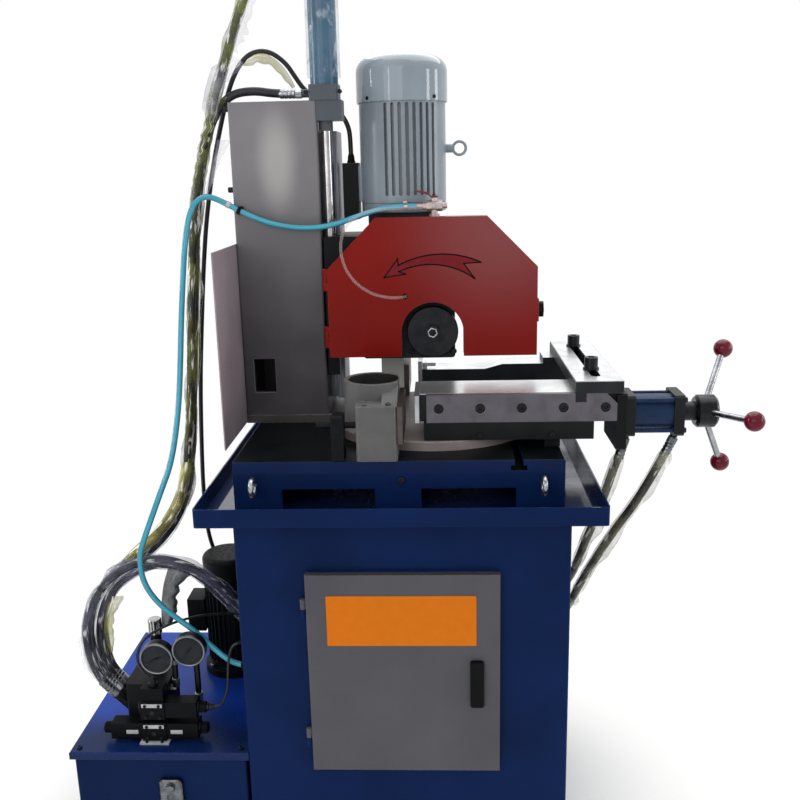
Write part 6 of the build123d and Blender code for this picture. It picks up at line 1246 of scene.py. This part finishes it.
def dressValves():
    labels, dark, caps, bright = (bmesh.new() for k in range(4))
    x, y, half, face = (valve[key] for key in ("x", "y", "half", "face"))
    knobR, knobL, lower = valve["knobR"], valve["knobL"], valve["levels"][0]
    for level in valve["levels"]:
        middle = (y, level)
        for side in (-1, 1) if level == lower else (1,):
            if level == lower:
                ends = sorted(x + side * (half + reach) for reach in valve["label"])
                curvedLabel(labels, *ends, middle, valve["coilR"] + 0.15, valve["labelTurn"])
            start = x + side * (half + valve["coilL"])
            rod(dark, (start - side * 3, *middle), (side, 0, 0), 7, 16, 1.2, 6)
            turned(caps, (start, *middle), (side, 0, 0), [(4, 0), (4, knobR - 1), (5, knobR), (knobL, knobR),
                                                          (knobL + 1.5, knobR - 1.5), (knobL + 1.5, 0)], 28)
            for angle in around(valve["ridges"]):
                out = Vector((0, math.cos(angle), math.sin(angle))) * knobR
                rod(caps, Vector((start + side * 5.5, *middle)) + out, (side, 0, 0), knobL - 6, 1.0, 0.3, 8)
        wide, low, high = valve["plate"]
        block(labels, (x - wide, face - 0.9, level + low), (x + wide, face - filmGap, level + high), 0.3)
        for away in (-valve["screwX"], valve["screwX"]):
            socketScrew(dark, (x + away, face - 0.9, level + (low + high) / 2), toFront, 3.6, 2.6)
            socketScrew(dark, (x + away, face, level - 14), toFront, 4.2, 3.2)
        rod(dark, (x, face, level - 3), toFront, 1.6, 6, 0.5, 24)
    foot, lidTop, footTop = valve["footHalf"], valve["lidTop"], valve["lidTop"] + valve["footThick"]
    block(labels, (x - foot, y - 30, lidTop + filmGap), (x + foot, valve["footBack"], footTop), 0.6)
    for away in (-18, 18):
        socketScrew(dark, (x + away, y - 26.5, footTop), (0, 0, 1), 3.4, 3)
    for start, axis, profile in leadGlands:
        turned(dark, start, axis, profile, 24)
    # plug in place of the upper valve's second coil
    rod(dark, (x - half + 1, y, valve["levels"][1]), (-1, 0, 0), 9, 15, 1.2, 6)
    for start, axis, length, radius in gaugeNuts:
        rod(bright, start, axis, length, radius, 1.2, 6)
    finishPiece("gaugeFittings", bright, zincPlate, "base")
    finishPiece("valveLabels", labels, whitePaint, "base")
    finishPiece("valveScrews", dark, blackOxide, "base")
    finishPiece("valveCaps", caps, blackNylon, "base")


# pump motor: cast fins round its frame, vents and screws in its cowl, a terminal box and flange bolts
pump = {"x": -474, "y": 80, "frameR": 60, "finR": 66, "fins": 30, "finZ": (340, 548), "cowlR": 66,
        "cowlTop": 629, "cowlScrewZ": 564, "flangeTop": 324, "boltR": 68,
        "vents": ((16, 6), (30, 10), (44, 15)), "box": ((-108, -36, 420), (-62, 36, 510))}


def dressPump():
    x, y, root, tip = pump["x"], pump["y"], pump["frameR"] - 1, pump["finR"]
    low, high = pump["finZ"]
    fins = bmesh.new()
    for angle in around(pump["fins"]):
        out = Vector((math.cos(angle), math.sin(angle)))
        side = Vector((-out.y, out.x)) * 1.6
        outline = [out * root - side * 1.3, out * tip - side * 0.7, out * tip + side * 0.7,
                   out * root + side * 1.3]
        slab(fins, outline, (x, y, high), high - low, up=(0, 1, 0))
    block(fins, *(Vector((x, y, 0)) + Vector(corner) for corner in pump["box"]), 3)
    finishPiece("pumpFins", fins, blackEnamel, "base")
    vents = bmesh.new()
    for ring, count in pump["vents"]:
        for angle in around(count):
            rod(vents, (x + ring * math.cos(angle), y + ring * math.sin(angle), pump["cowlTop"] - 0.4),
                (0, 0, 1), 0.8, 4.5, 0.2, 12)
    finishPiece("pumpVents", vents, blackNylon, "base")
    bolts = bmesh.new()
    for angle in around(4, math.pi / 4):
        out = Vector((math.cos(angle), math.sin(angle), 0))
        rod(bolts, Vector((x, y, pump["flangeTop"])) + out * pump["boltR"], (0, 0, 1), 8, 7, 1.0, 6)
        socketScrew(bolts, Vector((x, y, pump["cowlScrewZ"])) + out * pump["cowlR"], out, 4, 3)
    finishPiece("pumpBolts", bolts, zincPlate, "base")


# level gauge: oil behind its window, a pale scale, and the glass flush with the plate; each layer by its half
# width, bottom, top, corner, front face, thickness, finish and slot
sight = {
    "x": -545,
    "sightScale": (8.6, 121.4, 200.6, 8.5, -317.2, 0.6, whitePaint, "steel"),
    "sightOil": (7, 123, 176, 6, -318.2, 0.9, oilTone, "clear_tube"),
    "sightGlass": (9, 121, 201, 8.8, -320.7, 1.2, sightGlass, "clear_tube"),
}


def dressLevelGauge():
    x = sight["x"]
    for name in ("sightScale", "sightOil", "sightGlass"):
        half, low, high, corner, face, thick, finish, slot = sight[name]
        bm = bmesh.new()
        slab(bm, roundedOutline((x - half, low), (x + half, high), corner), (0, face, 0), thick)
        finishPiece(name, bm, finish, "base")


dressValves()
dressPump()
dressLevelGauge()
print("power unit dressed")


# stage: pale floor, soft light from above and behind, weaker light from the front, white for the camera
studio = {"floor": "#f4f4f2", "ambient": 0.62, "front": 0.2, "glow": 0.75, "shadowReach": (1.0, 1.9),
          "aim": (0, 0, 1.1)}
# lamps: place, size, power
lamps = {
    "overheadBox": ((0.3, 1.0, 3.9), (3.8, 3.8), 112),
    "frontFill": ((-1.2, -3.4, 2.4), (3.2, 2.2), 34),
    "frontSlit": ((-1.9, -3.3, 2.0), (0.16, 1.6), 5),
    "nearWindow": ((3.0, -0.95, 1.7), (0.42, 1.1), 10),
    "farWindow": ((3.0, 0.5, 1.7), (0.5, 1.1), 10),
    "leftWindow": ((-3.0, -0.3, 2.0), (0.45, 0.9), 20),
}


def layFloor():
    mesh = bpy.data.meshes.new("floor")
    bm = bmesh.new()
    bmesh.ops.create_grid(bm, x_segments=1, y_segments=1, size=14)
    bm.to_mesh(mesh)
    bm.free()
    floor = bpy.data.objects.new("floor", mesh)
    scene.collection.objects.link(floor)
    material, add, shader, place = startMaterial("floor paint")
    grain = add("TexNoise", {"Vector": place, "Scale": 1000 / 30, "Detail": 2.0})
    rough = add("MapRange", {"Value": grain, "To Min": 0.7, "To Max": 0.9})
    feed(shader, {"Roughness": rough, "Base Color": studio["floor"]})
    reach = add("VectorMath", {0: place}, operation="LENGTH")
    near, far = studio["shadowReach"]
    away = add("MapRange", {"Value": reach, "From Min": near, "From Max": far},
               interpolation_type="SMOOTHSTEP")
    ray = add("LightPath").outputs
    direct = add("Math", {0: ray["Is Camera Ray"], 1: ray["Is Glossy Ray"]}, operation="MAXIMUM")
    seen = add("Math", {0: direct, 1: ray["Is Transmission Ray"]}, operation="MAXIMUM")
    share = add("Math", {0: seen, 1: away}, operation="MULTIPLY")
    white = add("Emission", {"Color": "#ffffff", "Strength": 1.0})
    mixed = add("MixShader", {0: share, 1: shader, 2: white})
    add("OutputMaterial", {"Surface": mixed}, is_active_output=True)
    mesh.materials.append(material)


def lightRoom():
    world = bpy.data.worlds.new("studio")
    world.use_nodes = True
    world.node_tree.nodes.clear()
    add = partial(addNode, world.node_tree)
    ray = add("LightPath").outputs
    axes = add("SeparateXYZ", {0: add("TexCoord").outputs["Generated"]}).outputs
    back = add("MapRange",
               {"Value": axes["Y"], "From Min": -0.55, "From Max": 0.35, "To Min": studio["front"]},
               interpolation_type="SMOOTHSTEP")
    sheen = add("Math", {0: ray["Is Glossy Ray"], 1: ray["Is Transmission Ray"]}, operation="MAXIMUM")
    slant = add("Math", {0: axes["X"], 1: axes["Z"]}, operation="ADD")
    glow = add("MapRange", {"Value": slant, "From Min": -0.2, "From Max": 0.08, "To Max": studio["glow"]},
               interpolation_type="SMOOTHSTEP")
    room = add("Math", {0: back, 1: glow}, operation="MAXIMUM")
    mirrored = add("Mix", {0: sheen, 2: studio["ambient"], 3: room}, data_type="FLOAT")
    seen = add("Math", {0: mirrored, 1: ray["Is Camera Ray"]}, operation="MAXIMUM")
    add("OutputWorld", {"Surface": add("Background", {"Color": "#ffffff", "Strength": seen})})
    scene.world = world
    for name, (place, size, power) in lamps.items():
        lamp = bpy.data.lights.new(name, "AREA")
        lamp.shape = "RECTANGLE"
        lamp.size, lamp.size_y = size
        lamp.energy = power
        holder = bpy.data.objects.new(name, lamp)
        holder.location = place
        aim = Vector(studio["aim"]) - Vector(place)
        holder.rotation_euler = aim.to_track_quat("-Z", "Y").to_euler()
        scene.collection.objects.link(holder)
    scene.view_settings.view_transform = "Standard"


layFloor()
lightRoom()
print("stage set")
